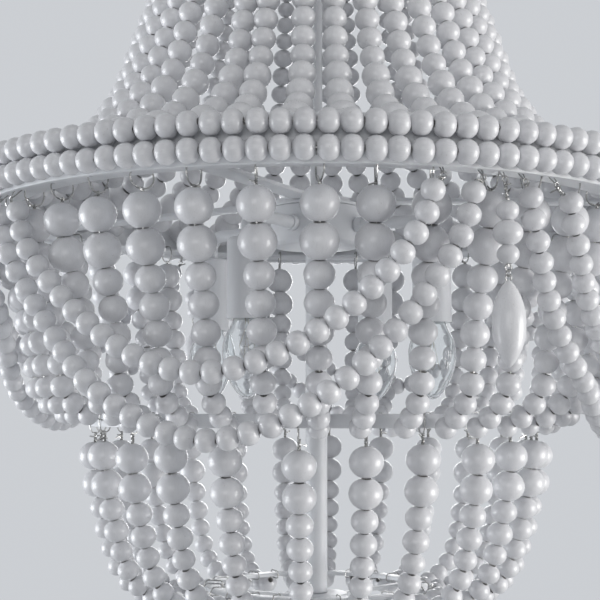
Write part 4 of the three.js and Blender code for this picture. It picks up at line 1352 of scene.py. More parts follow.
    def make_bottom_frame(self) -> None:
        """The flat bottom ring, its sloping spokes and the foot disc."""
        top = self.bottom_top
        shells = Shells()
        turn(shells, rounded([(79, top - 3), (91, top - 3), (91, top), (79, top)], 0.6), 96)
        disc = top - 7
        turn(shells, rounded([(3.8, disc - 3), (25, disc - 3), (25, disc), (3.8, disc)], 0.6), 60)
        low, high = disc - 2.8, disc - 0.2
        outline = [(17, low), (25, low), (85, top - 2.8), (85, top - 0.2), (25, high), (17, high)]
        for quarter in range(BAYS):
            bar(shells, outline, 8.0, self.bottom_spoke_turn + quarter * BAY_ANGLE)
        self.keep(shells, "bottom_frame_rolled", "bottom_frame")

    def make_finial(self) -> None:
        """The ball-ended nut under the foot disc."""
        neck_top = self.bottom_top - 10.3
        neck_foot = neck_top - 4
        ball = [(10 * math.sin(a), neck_foot - 10 + 10 * math.cos(a)) for a in np.linspace(0.62, math.pi, 16)]
        profile = [(0, neck_top + 15), (3.5, neck_top + 15), (3.5, neck_top), (6.4, neck_top)]
        profile += [(6.4, neck_top - 1.6), (5.0, neck_top - 2.4), (5.0, neck_foot)]
        profile += [*ball[:-1], (0, neck_foot - 20)]
        self.spin("finial_ball", "finial", profile, 36)


# Lights


@dataclass
class CandleLights:
    """Four arms with a downward candle socket, sleeve and clear bulb."""

    paints: Paints
    turn_angle: float = -12.0
    radius: float = 106.0
    arm_z: float = -479.85
    arm_root: float = 38.3
    arm_curve: float = 12.0
    arm_foot: float = -509.0
    arm_pipe: float = 5.0
    sleeve_top: float = -499.8
    sleeve_length: float = 63.0
    sleeve_radius: float = 15.5
    sleeve_wall: float = 1.2
    sleeve_curve: float = 3.5
    socket_top: float = -501.3
    cap_top: float = -527.4
    thread_turns: int = 5
    thread_pitch: float = 2.8
    glass_top: float = -547.4
    glass_radius: float = 19.0
    glass_length: float = 76.0
    glass_wall: float = 0.7
    filament_turn: float = 35.0
    lead_wire: float = 0.28
    support_wire: float = 0.16
    coil_wire: float = 0.13
    coil_radius: float = 0.45
    coil_turns: int = 34

    def build(self) -> None:
        """Builds and settles the pieces of each light."""
        for index in range(BAYS):
            degrees = self.turn_angle + index * BAY_ANGLE
            centre = polar(self.radius, degrees)[:2]
            self.make_arm(index, degrees)
            self.make_socket(index, centre)
            self.make_sleeve(index, centre)
            self.make_bulb(index, centre, degrees)

    def make_arm(self, index: int, degrees: float) -> None:
        """The bent tube with its boss against the hub.

        Args:
            index: Which of the four it is.
            degrees: Its angle round the rod.
        """
        z, curve, root = self.arm_z, self.arm_curve, self.arm_root
        bend = np.linspace(0, np.pi / 2, 14)
        places = [self.radius - curve + curve * np.sin(bend), z - curve + curve * np.cos(bend)]
        corner = np.stack(places, axis=1)
        line = np.concatenate([[(root, z), (60, z)], corner, [(self.radius, self.arm_foot)]])
        shells = Shells()
        tube(shells, upright(line, degrees), self.arm_pipe, 24)
        boss = np.array([(root, z), (root + 0.6, z), (root + 5.3, z), (root + 6.0, z)])
        tube(shells, upright(boss, degrees), np.array([6.1, 6.5, 6.5, 6.1]), 24)
        shells.settle(f"arm_{index + 1}_tube", self.paints.metal, LIGHT_BODY, f"arm_{index + 1}")

    def make_socket(self, index: int, centre: Sequence[float]) -> None:
        """The socket, with the screw shell's mouth at its foot.

        Args:
            index: Which of the four it is.
            centre: The x and y of its axis.
        """
        top, foot = self.socket_top, self.glass_top + 0.3
        seat = top - 8
        profile = [(0, seat), (5.3, seat), (5.3, top), (13.5, top), (13.5, foot + 6), (12.6, foot + 5)]
        profile += [(12.6, foot), (8.2, foot), (7.5, foot + 1.2), (7.5, seat - 17.8), (0, seat - 17.8)]
        shells = Shells()
        turn(shells, rounded(profile, 0.5, closed=False), 40, centre)
        shells.settle(f"socket_{index + 1}_shell", self.paints.socket, LIGHT_BODY, f"socket_{index + 1}")

    def make_sleeve(self, index: int, centre: Sequence[float]) -> None:
        """The white tube over the socket, open below.

        Args:
            index: Which of the four it is.
            centre: The x and y of its axis.
        """
        top, outer, wall, curve = self.sleeve_top, self.sleeve_radius, self.sleeve_wall, self.sleeve_curve
        inner, foot = outer - wall, top - self.sleeve_length
        quarter = np.linspace(0, math.pi / 2, 8)
        shoulder = [(outer - curve + curve * math.sin(a), top - curve + curve * math.cos(a)) for a in quarter]
        profile = [(5.3, top), *shoulder, (outer, foot + 0.3), (outer - 0.3, foot), (inner + 0.3, foot)]
        profile += [(inner, foot + 0.3), (inner, top - 3.6), (inner - 2.4, top - wall), (5.3, top - wall)]
        shells = Shells()
        turn(shells, profile, 56, centre)
        shells.settle(f"sleeve_{index + 1}_tube", self.paints.sleeve, LIGHT_BODY, f"sleeve_{index + 1}")

    def make_bulb(self, index: int, centre: Sequence[float], degrees: float) -> None:
        """The clear bulb: a hollow glass, its stem and filament, and the screw cap.

        Args:
            index: Which of the four it is.
            centre: The x and y of its axis.
            degrees: Its angle round the rod.
        """
        body, top = f"bulb_{index + 1}", self.glass_top
        shares = [(0.37, 0.0), (0.42, 0.05), (0.5, 0.16), (0.68, 0.28), (0.92, 0.4), (1.0, 0.52), (0.9, 0.7)]
        shares += [(0.62, 0.86), (0.3, 0.965), (0.12, 0.995)]
        outer = smooth([(self.glass_radius * r, top - self.glass_length * d) for r, d in shares], 2.0)
        inner = outer - [self.glass_wall, 0.0]
        inner[:, 1] += np.linspace(0.0, 0.8, len(inner))
        tip = top - self.glass_length
        wall = [(0, tip), *map(tuple, outer[::-1]), *map(tuple, inner[:-1]), (0, tip + 1.2)]
        glass = Shells()
        turn(glass, wall, 48, centre)
        glass.settle(f"{body}_glass", self.paints.glass, body, body, sharp=GLASS_CRISP_ANGLE)
        profile = [(0, top - 26), (1.3, top - 25.5), (1.5, top - 17), (2.6, top - 10)]
        profile += [(5.6, top + 0.2), (5.2, top + 0.4), (0, top - 7)]
        stem = Shells()
        turn(stem, profile, 20, centre)
        stem.settle(f"{body}_stem", self.paints.glass, body, sharp=GLASS_CRISP_ANGLE)
        self.make_cap(centre, body)
        self.make_filament(centre, degrees + BAY_ANGLE + self.filament_turn * index, body)

    def make_cap(self, centre: Sequence[float], body: str) -> None:
        """The screw cap with its rolled thread and contact.

        Args:
            centre: The x and y of its axis.
            body: The bulb's body.
        """
        top, foot = self.cap_top, self.glass_top
        profile: list[Pair] = [(0, top), (2.4, top - 0.2), (3.0, top - 1.6), (6.2, top - 3.2)]
        for step in range(self.thread_turns):
            z = top - 4.2 - step * self.thread_pitch
            profile += [(6.4, z), (7.0, z - 0.9), (7.0, z - 1.5), (6.4, z - 2.3)]
        profile += [(6.6, foot + 1.0), (6.9, foot - 0.6), (5.6, foot - 0.6)]
        profile += [(5.6, foot + 2.0), (0, foot + 2.0)]
        shells = Shells()
        turn(shells, profile, 32, centre)
        shells.settle(f"{body}_cap", self.paints.cap, body)

    def make_filament(self, centre: Sequence[float], degrees: float, body: str) -> None:
        """The two lead wires, the fine supports and the coiled filament.

        Args:
            centre: The x and y of its axis.
            degrees: The angle that the lead wires lie along.
            body: The bulb's body.
        """
        shells = Shells()
        across = polar(1.0, degrees)
        middle = np.array([centre[0], centre[1], 0.0])
        top = self.glass_top
        for side in (-1, 1):
            lead = smooth([(0.9, top - 9), (1.1, top - 20), (3.2, top - 27), (7.0, top - 36)], 2.0)
            places = [middle + across * x * side + [0, 0, z] for x, z in lead]
            tube(shells, np.array(places), self.lead_wire, 6)
        forward = np.cross(across, UP)
        for side in (-1, 1):
            foot = middle + forward * 5.5 * side + [0, 0, top - 52.0]
            places = [middle + [0, 0, top - 24.0], (middle + foot) / 2 + [0, 0, (top - 24) / 2], foot]
            tube(shells, np.array(places), self.support_wire, 5)
        coil = np.linspace(0, 1, 220)
        ends = [(-7.0, -36.0, 0.0), (-3.5, -47.0, -3.0), (0.0, -52.5, 0.0)]
        ends += [(3.5, -47.0, 3.0), (7.0, -36.0, 0.0)]
        core = smooth(ends, 0.3)
        core = np.stack([np.interp(coil, np.linspace(0, 1, len(core)), c) for c in core.T], axis=1)
        angle = coil * 2 * np.pi * self.coil_turns
        coils = np.stack([np.cos(angle), np.sin(angle), np.sin(angle + 1.1)], axis=1)
        spiral = core + self.coil_radius * coils
        line = middle + spiral[:, :1] * across + spiral[:, 2:] * forward + np.outer(top + spiral[:, 1], UP)
        tube(shells, line, self.coil_wire, 4)
        shells.settle(f"{body}_filament", self.paints.cap, body)


# Bead strings


@dataclass
class BeadBand:
    """Two rows of barrel beads wired round the hoop's plate."""

    paints: Paints
    radius: float = 285.8
    rows: tuple[tuple[str, float], ...] = (("lower", -469.4), ("upper", -452.4))
    count: int = 120
    width: float = 16.8
    tie_wire: float = 0.4
    seed: int = 11

    def build(self) -> None:
        """Builds and settles the rows and their wires."""
        chance = np.random.default_rng(self.seed)
        for name, z in self.rows:
            shells, wires = Shells(), Shells()
            angles = (np.arange(self.count) + 0.5) * FULL_TURN / self.count
            angles += chance.normal(0, 0.06, self.count)
            centres = np.array([polar(self.radius, a, z) for a in angles])
            centres[:, 2] += chance.normal(0, 0.18, self.count)
            axes = np.array([polar(1.0, a + BAY_ANGLE) for a in angles])
            widths = np.full(self.count, self.width) * chance.normal(1, 0.008, self.count)
            BAND_BEAD.thread(shells, centres, axes, widths, chance, 0.05)
            shells.settle(f"band_beads_{name}", self.paints.bead, LIGHT_BODY, f"band_row_{name}")
            WIRE.thin(wires, circle((0, 0, z), FRONT, RIGHT, self.radius, 240), 6, loop=True)
            tie = [(277.3, z + 3), (281, z + 2.2), (285.6, z + 0.6)]
            tie += [(285.4, z - 0.8), (281, z - 2), (277.3, z - 3)]
            for i in range(STRINGS):
                tube(wires, upright(smooth(tie, 0.8), i * HOOK_ANGLE), self.tie_wire, 5)
            wires.settle(f"band_wire_{name}", self.paints.wire, LIGHT_BODY)


def settle_quarter(
    paints: Paints, kind: str, wire_kind: str, number: int, beads: Shells, wires: Shells
) -> None:
    """Settles the beads and wires of one quarter's strings."""
    beads.settle(f"{kind}_beads_{number}", paints.bead, LIGHT_BODY, f"{kind}_strands_{number}")
    wires.settle(f"{kind}_{wire_kind}_{number}", paints.wire, LIGHT_BODY)


@dataclass
class CrownStrings:
    """Forty graduated strings that flare from the small ring out to the band."""

    paints: Paints
    ring_z: float = CROWN_RING_Z
    ring_radius: float = 112.0
    plate_top: float = -444.8
    last_lean: Pair = (-0.66, 0.75)
    sway_radius: float = 170.0
    sway_reach: float = 130.0
    front_shifts: tuple[float, ...] = (0.0, 0.3, 0.0, 1.0, 2.2, -0.6, 1.2, 0.5, 0.7, 0.0)
    seed: int = 20

    def line(self) -> np.ndarray:
        """The [radius, z] line of one string.

        Returns:
            The places along it.
        """
        r, z = self.ring_radius, self.ring_z
        points = [
            (r, z - 1.6), (r + 0.6, z - 16), (r + 2.4, z - 33), (r + 5.6, z - 54), (122.8, -252.0),
            (129.7, -279.0), (136.9, -301.0), (144.6, -321.0), (152.4, -344.0), (158.8, -362.5),
            (165.6, -378.5), (174.4, -394.2), (186.8, -411.2), (204.0, -427.4), (225.6, -440.4),
            (243.6, -448.2), (259.4, -452.0),
        ]
        return smooth(points)

    def widths(self) -> list[float]:
        """Bead widths from the top down."""
        return [15.8] * 6 + [16.8] * 2 + [18.6] * 6 + [20.6] * 3 + [25.4] * 3

    def build(self) -> None:
        """Builds and settles the strings of each quarter."""
        line = self.line()
        widths = self.widths()
        threading = Threading(line[::-1], widths[::-1], start=-bead_height(widths[-1]) / 2)
        centres, axes = threading.places()
        axes[0] = self.last_lean
        for quarter in range(BAYS):
            chance = np.random.default_rng(self.seed + quarter)
            beads, wires = Shells(), Shells()
            for i in range(HOOKS_PER_BAY):
                degrees = (quarter - 0.5) * BAY_ANGLE + (i + 0.5) * HOOK_ANGLE
                sway = self.front_shifts[i] if quarter == 0 else float(chance.normal(0, 0.5))
                turned = degrees + sway * (1 - np.abs(centres[:, 0] - self.sway_radius) / self.sway_reach)
                placed = np.array([polar(c[0], t, c[1]) for c, t in zip(centres, turned)])
                string_beads(beads, placed, upright(axes, degrees), widths[::-1], chance)
                WIRE.thin(wires, smooth(placed, 5.0))
                self.tie(wires, degrees, chance)
            settle_quarter(self.paints, "crown", "wires", quarter + 1, beads, wires)

    def tie(self, wires: Shells, degrees: float, chance: Chance) -> None:
        """The loops at both ends of one string.

        Args:
            wires: Where it goes.
            degrees: The string's angle round the rod.
            chance: Draws what differs from one string to the next.
        """
        r, z = self.ring_radius, self.ring_z
        loop = [(r, z - 2), (r + 0.4, z + 1), (r + 1.5, z + 4.2), (r + 4, z + 4.4), (r + 9.5, z + 3.6)]
        WIRE.thin(wires, upright(smooth(loop, 1.0), degrees))
        top = self.plate_top
        end = [(257.0, top - 6.6), (266.0, top - 3.6), (271.8, top + 0.9), (275.6, top + 1.4)]
        end += [(278.0, top - 1.4), (277.8, top - 8)]
        WIRE.thin(wires, upright(smooth(end, 1.0), degrees + chance.normal(0, 0.15)))


@dataclass
class CurtainStrings:
    """Forty graduated strings from the hoop's hooks in to the lower ring."""

    paints: Paints
    flange_z: float = -474.3
    knot: Pair = (252.0, -484.9)
    front_shifts: tuple[float, ...] = (-0.2, -0.35, -0.55, -0.6, 0.05, 0.5, -0.15, -0.5, 0.6, -0.4)
    front_slack: float = 8.0
    slackest: float = 38.0
    front_loop_turns: tuple[float, ...] = (-6.0, -12.0, -26.0, -12.0, 8.0, 18.0, -6.0, -16.0, 8.0, 14.0)
    seed: int = 40

    def shift(self, quarter: int, index: int, chance: Chance) -> float:
        """How far a hook stands off its even place, in degrees. The ten in front follow the photograph.

        Args:
            quarter: Which quarter it stands in.
            index: Its place in the quarter.
            chance: Draws the shift of the others.

        Returns:
            The shift.
        """
        drawn = float(chance.normal(0, 0.4))
        place = quarter * HOOKS_PER_BAY + index - 1
        return self.front_shifts[place] if 0 <= place < len(self.front_shifts) else drawn

    def slack(self, degrees: float) -> float:
        """How much lower a string's end hangs, most at the front."""
        return self.front_slack * max(0.0, math.cos(math.radians(degrees - self.slackest)))

    def line(self, slack: float) -> np.ndarray:
        """The [radius, z] line of one string, from its knot to the lower ring.

        Args:
            slack: How much lower its end hangs.

        Returns:
            The places along it.
        """
        points = [
            (252.0, -485.6), (252.0, -498.8), (247.2, -522.8), (241.4, -543.6), (236.0, -562.0),
            (232.2, -580.0), (230.2, -596.0), (228.8, -610.5), (224.8, -619.6 - slack * 0.1),
            (217.5, -627.5 - slack * 0.35), (206.5, -634.0 - slack * 0.6), (195.5, -637.8 - slack * 0.85),
            (186.0, -638.6 - slack),
        ]
        return smooth(points)

    def widths(self) -> list[float]:
        """Bead widths from the top down."""
        return [26.4, 26.5, 21.2, 20.8, 20.4, 18.3, 18.0] + [16.6, 16.4, 15.8, 15.8, 15.8]

    def build(self) -> None:
        """Builds and settles the strings and hooks of each quarter."""
        widths = self.widths()
        for quarter in range(BAYS):
            chance = np.random.default_rng(self.seed + quarter)
            beads, wires = Shells(), Shells()
            for i in range(HOOKS_PER_BAY):
                degrees = (quarter - 0.5) * BAY_ANGLE + (i + 1) * HOOK_ANGLE + self.shift(quarter, i, chance)
                line = self.line(self.slack(degrees) + float(chance.normal(0, 0.3)))
                centres, axes = Threading(line, widths, start=1.2, play=0.2).places()
                sway = np.linspace(0, 1, len(centres)) * chance.normal(0, 0.3)
                placed = np.array([polar(c[0], degrees + s, c[1]) for c, s in zip(centres, sway)])
                string_beads(beads, placed, upright(axes, degrees), widths, chance)
                WIRE.thin(wires, upright(line[::12], degrees))
                place = quarter * HOOKS_PER_BAY + i - 1
                loop_turn = float(chance.normal(0, 8))
                if 0 <= place < len(self.front_loop_turns):
                    loop_turn = self.front_loop_turns[place]
                self.hook(wires, degrees, loop_turn, chance)
            settle_quarter(self.paints, "curtain", "hooks", quarter + 1, beads, wires)

    def hook(self, wires: Shells, degrees: float, loop_turn: float, chance: Chance) -> None:
        """The loop through the flange's hole and round its inner edge, twisted above the first bead.

        Args:
            wires: Where it goes.
            degrees: The string's angle round the rod.
            loop_turn: How far the loop is turned, in degrees.
            chance: Draws what differs from one string to the next.
        """
        radius, knot_z = self.knot
        knot_z += chance.normal(0, 0.5)
        z = self.flange_z
        wide = chance.normal(1.0, 0.06)
        legs = [
            (-0.6, knot_z + 0.2), (3.4, knot_z + 0.9), (6.8 * wide, knot_z + 3.6), (8.4 * wide, z - 3.2),
            (8.4, z + 1.0), (6.2, z + 4.6), (0.0, z + 5.2 + chance.normal(0, 0.2)), (-5.6, z + 4.4),
            (-7.8, z + 1.0), (-8.0 * wide, z - 3.6), (-6.6 * wide, knot_z + 3.2), (-3.4, knot_z + 0.8),
            (0.6, knot_z + 0.2),
        ]
        loop = smooth(legs, 0.9)
        out = polar(1.0, degrees + loop_turn)
        line = polar(radius, degrees) + loop[:, :1] * out + np.outer(loop[:, 1], UP)
        tube(wires, line, WIRE.radius, WIRE.sides)
        top = polar(radius, degrees, knot_z + 1.2)
        WIRE.twist(wires, top, polar(radius, degrees, knot_z - 2.6), 1.6, chance.uniform(0, ANY_PHASE))
        WIRE.stray(wires, top + [0, 0, -1.0], chance)


@dataclass
class BasketStrings:
    """Twenty-four graduated strings from the lower ring in to the bottom ring."""

    paints: Paints
    ring_z: float = LOWER_RING_Z
    count_per_bay: int = 6
    turn_angle: float = -1.8
    flatness: float = 0.965
    front_shifts: tuple[float, ...] = (1.2, -0.3, -0.85, 1.0, 0.8, -0.7, 0.0, -2.0, -3.0)
    front_drops: tuple[float, ...] = (1.5, 0.0, 1.8, 5.0, 2.2, 1.0, 1.5, 0.5, 0.0)
    seed: int = 60

    def line(self) -> np.ndarray:
        """The [radius, z] line of one string.

        Returns:
            The places along it.
        """
        points = [
            (180.6, -653.4), (181.0, -665.8), (178.4, -686.8), (174.4, -706.2), (170.3, -723.8),
            (166.0, -739.6), (160.6, -753.4), (152.8, -765.4), (142.4, -774.2), (129.0, -780.6),
            (114.0, -783.4), (101.0, -781.6), (93.4, -776.6),
        ]
        return smooth(points)

    def widths(self) -> list[float]:
        """Bead widths from the top down."""
        return [24.6, 24.4, 19.6, 19.4, 17.6, 17.4] + [16.6] * 6

    def build(self) -> None:
        """Builds and settles the strings of each quarter."""
        line, widths = self.line(), self.widths()
        centres, axes = Threading(line, widths, self.flatness, start=1.4).places()
        step = BAY_ANGLE / self.count_per_bay
        for quarter in range(BAYS):
            chance = np.random.default_rng(self.seed + quarter)
            beads, wires = Shells(), Shells()
            for i in range(self.count_per_bay):
                place = quarter * self.count_per_bay + i
                shift, lift = chance.normal(0, 0.4), chance.uniform(-3.0, 0.0)
                if place < len(self.front_shifts):
                    shift, lift = self.front_shifts[place], -self.front_drops[place]
                degrees = (place + 1) * step - BAY_ANGLE / 2 + self.turn_angle + shift
                sway = np.sin(np.linspace(0, np.pi, len(centres))) * chance.normal(0, 0.35)
                placed = np.array([polar(c[0], degrees + s, c[1] + lift) for c, s in zip(centres, sway)])
                string_beads(beads, placed, upright(axes, degrees), widths, chance, self.flatness)
                WIRE.thin(wires, upright(line[::12], degrees))
                self.hook(wires, degrees, lift, chance)
                self.tie(wires, degrees, chance)
            settle_quarter(self.paints, "basket", "hooks", quarter + 1, beads, wires)

    def hook(self, wires: Shells, degrees: float, lift: float, chance: Chance) -> None:
        """The loop over the ring's lower lip, with its twisted knot and cut ends.

        Args:
            wires: Where it goes.
            degrees: The string's angle round the rod.
            lift: How much higher the string hangs.
            chance: Draws what differs from one string to the next.
        """
        z = self.ring_z
        foot = -654.0 + lift
        legs = [
            (180.6, foot + 6.0), (183.0, foot + 7.0), (184.9, z + 1.0), (184.8, z + 7.0), (184.2, z + 10.8),
            (180.0, z + 11.2), (176.3, z + 10.4), (176.2, z + 1.0), (177.8, foot + 7.0),
            (180.2, foot + 6.0),
        ]
        WIRE.thin(wires, upright(smooth(legs, 1.0), degrees + chance.normal(0, 0.3)), 6)
        knot = polar(180.4, degrees, foot + 6.6)
        WIRE.twist(wires, knot, knot - [0, 0, 8.5], 2.6, chance.uniform(0, ANY_PHASE))
        WIRE.stray(wires, knot - [0, 0, 3.5], chance)

    def tie(self, wires: Shells, degrees: float, chance: Chance) -> None:
        """The wire that ends a string round the bottom ring.

        Args:
            wires: Where it goes.
            degrees: The string's angle round the rod.
            chance: Draws what differs from one string to the next.
        """
        loop = [(93.6, -776.8), (90.6, -771.8), (85.0, -771.6), (78.2, -772.4)]
        loop += [(77.8, -777.0), (84.0, -777.9), (91.6, -777.6), (94.4, -778.4)]
        WIRE.thin(wires, upright(smooth(loop, 0.9), degrees + chance.normal(0, 0.4)))
        WIRE.stray(wires, polar(92.4, degrees, -777.0), chance)


@dataclass
class Swags:
    """Eight strings of small beads draped over the outside of the curtain, two to a bay."""

    paints: Paints
    hoop_z: float = HOOP_Z
    top_drop: float = 13.0
    end_radius: float = 273.0
    bead: float = 16.6
    pitch: float = 14.66
    hook_angles: Pair = (35.5, 41.5)
    pull_in: float = 1.8
    sags: Pair = (116.0, 160.0)
    leans: Pair = (0.9, 0.9)
    fullness: Pair = (1.8, 1.5)
    left_bay: int = 3
    left_lift: float = 10.0
    axis_reach: int = 14
    arc_per_degree: float = 4.4
    blur: int = 33
    seed: int = 80

    def surface(self, z: np.ndarray) -> np.ndarray:
        """How far out the beads' centres lie at a height, on the curtain's outside.

        Args:
            z: Heights.

        Returns:
            The radius at each.
        """
        heights = [489.9, 523.1, 545.0, 580.75, 615.0, 640.3]
        reach = [273.0, 269.6, 261.6, 251.6, 248.6, 240.4]
        return np.interp(-z, heights, reach)

    def line(self, left: float, right: float, sag: float, bay: int) -> np.ndarray:
        """The line of one swag in place, from the angle of its left end to that of its right end.

        Args:
            left: Angle of its left end, from the bay's middle.
            right: Angle of its right end.
            sag: How far it hangs.
            bay: Which bay it is in.

        Returns:
            The places along it.
        """
        share = np.sin(np.linspace(-np.pi / 2, np.pi / 2, 601))
        along, across = self.fullness
        fall = np.clip(1 - np.abs(share) ** along, 0, 1) ** (1 / across)
        z = self.hoop_z - self.top_drop - sag * fall
        degrees = bay * BAY_ANGLE + (left + right) / 2 + (right - left) / 2 * share
        radius = self.surface(z)
        flat = even(np.stack([degrees * self.arc_per_degree, z, radius], axis=1), 1.0)
        angle, z, radius = np.radians(flat[:, 0] / self.arc_per_degree), flat[:, 1], flat[:, 2]
        kernel = np.hanning(self.blur) / np.hanning(self.blur).sum()
        radius = np.convolve(np.pad(radius, self.blur // 2, mode="edge"), kernel, mode="valid")
        return even(np.stack([radius * np.sin(angle), -radius * np.cos(angle), z], axis=1))

    def build(self) -> None:
        """Builds and settles the swags of each bay."""
        for bay in range(BAYS):
            for kind, angle, sag, lean in zip(("upper", "lower"), self.hook_angles, self.sags, self.leans):
                chance = np.random.default_rng(self.seed + bay * 2 + (kind == "lower"))
                drawn = abs(chance.normal(0, 0.6)) * (1 if kind == "upper" else -1)
                lean = drawn if bay else lean
                lift = self.left_lift if bay == self.left_bay else 0.0
                sag = sag + (chance.normal(0, 2.0) if bay else 0.0) - lift
                line = self.line(self.pull_in - angle + lean, angle - self.pull_in + lean * 0.2, sag, bay)
                length = (len(line) - 1) * float(np.linalg.norm(line[1] - line[0]))
                count = int(length / self.pitch) + 1
                places = np.linspace(0, len(line) - 1, count).round().astype(int)
                centres = line[places]
                ahead = np.minimum(places + self.axis_reach, len(line) - 1)
                axes = line[ahead] - line[np.maximum(places - self.axis_reach, 0)]
                beads, wires = Shells(), Shells()
                sizes = np.full(count, self.bead) * chance.normal(1, 0.006, count)
                SWAG_BEAD.thread(beads, centres, axes, sizes, chance, 0.04)
                body = f"{kind}_swag_{bay + 1}"
                beads.settle(f"{body}_beads", self.paints.bead, body, body)
                WIRE.thin(wires, line[::10])
                for end, side in ((centres[0], -1), (centres[-1], 1)):
                    self.hook(wires, bay * BAY_ANGLE + side * angle, end, chance)
                wires.settle(f"{body}_wire", self.paints.wire, body)
        self.make_staples()

    def hook(self, wires: Shells, degrees: float, end: np.ndarray, chance: Chance) -> None:
        """The ring and twist above an end bead.

        Args:
            wires: Where it goes.
            degrees: The hook's angle round the rod.
            end: The end bead's centre.
            chance: Draws what differs from one string to the next.
        """
        hang_ring(wires, degrees, self.end_radius - 1.0, self.hoop_z - 2.6)
        top = polar(self.end_radius - 1.0, degrees, self.hoop_z - 4.2)
        above = end + unit(top - end) * self.pitch / 2
        WIRE.twist(wires, top, above, float(np.linalg.norm(above - top)) / 4, chance.uniform(0, ANY_PHASE))
        WIRE.stray(wires, top + [0, 0, -1.0], chance)

    def make_staples(self) -> None:
        """The fixed loops under the hoop that the swags and drops hang from."""
        shells = Shells()
        places = [side * angle for angle in self.hook_angles for side in (-1, 1)]
        angles = [bay * BAY_ANGLE + place for bay in range(BAYS) for place in places]
        angles += [(bay + 0.5) * BAY_ANGLE for bay in range(BAYS)]
        z = self.hoop_z
        staple = [(262.5, z + 6), (266.5, z + 2.4), (270.6, z - 1.2)]
        staple += [(272.2, z - 1.9), (271.6, z - 0.4), (268.6, z + 4.6)]
        for degrees in angles:
            WIRE.thin(shells, upright(smooth(staple, 0.8), degrees), 6)
        shells.settle("swag_staples", self.paints.wire, LIGHT_BODY)


def hang_ring(wires: Shells, degrees: float, radius: float, z: float, size: float = 1.9) -> None:
    """Adds a small wire ring that faces along the circle's radius."""
    line = circle(polar(radius, degrees, z), polar(1.0, degrees + BAY_ANGLE), UP, size, 18)
    WIRE.thin(wires, line, 6, loop=True)


@dataclass
class PendantDrops:
    """Four drops where the bays meet: three beads, small links and a long almond bead."""

    paints: Paints
    hoop_z: float = HOOP_Z
    radius: float = 274.5
    beads: tuple[Triple, ...] = (
        (-502.8, 15.2, 13.2),
        (-517.4, 20.2, 16.2),
        (-531.4, 15.0, 12.8),
    )
    small_links: Triple = (-540.3, -543.8, -547.2)
    link_radius: float = 2.3
    almond_top: float = -548.0
    almond_length: float = 57.0
    almond_radius: float = 11.2
    seed: int = 100

    def build(self) -> None:
        """Builds and settles each drop."""
        for index in range(BAYS):
            chance = np.random.default_rng(self.seed + index)
            degrees = (index + 0.5) * BAY_ANGLE
            centre = polar(self.radius, degrees)
            body = f"pendant_drop_{index + 1}"
            beads, wires = Shells(), Shells()
            for z, width, height in self.beads:
                form = BeadForm(height / width, sides=24, bands=12)
                place, axis = centre + [0, 0, z], np.array([UP])
                form.thread(beads, place[None], axis, np.array([width]), chance)
            self.make_almond(beads, centre)
            beads.settle(f"{body}_beads", self.paints.bead, body, body)
            hang_ring(wires, degrees, self.radius - 2.4, self.hoop_z - 2.6, 2.1)
            top = polar(self.radius - 2.2, degrees, self.hoop_z - 4.6)
            WIRE.twist(wires, top, centre + [0, 0, -495.6], 3.5, chance.uniform(0, ANY_PHASE))
            WIRE.stray(wires, top + [0, 0, -2.0], chance)
            tube(wires, np.array([centre + [0, 0, z] for z in (-494, -540)]), 0.6, 6)
            upper, middle, lower = self.small_links
            hang_ring(wires, degrees, self.radius, upper, self.link_radius)
            self.edge_ring(wires, centre, degrees, middle)
            hang_ring(wires, degrees, self.radius, lower, self.link_radius)
            wires.settle(f"{body}_wire", self.paints.wire, body)

    def edge_ring(self, wires: Shells, centre: np.ndarray, degrees: float, z: float) -> None:
        """Adds a small ring turned across the other ones."""
        line = circle(centre + [0, 0, z], polar(1.0, degrees), UP, self.link_radius, 18)
        WIRE.thin(wires, line, 6, loop=True)

    def make_almond(self, beads: Shells, centre: np.ndarray) -> None:
        """The long bead, fullest at its middle.

        Args:
            beads: Where it goes.
            centre: The drop's axis.
        """
        depth = (1 - np.cos(np.linspace(0.06, math.pi - 0.06, 40))) / 2
        fullness = (1 - np.abs(2 * depth - 1) ** 2.15) ** 0.78
        top, length = self.almond_top, self.almond_length
        outer = np.stack([self.almond_radius * fullness, top - length * depth], axis=1)
        profile = [(0, top - 1.0), *map(tuple, outer), (0, top - length)]
        turn(beads, profile, 40, centre[:2])


# Studio


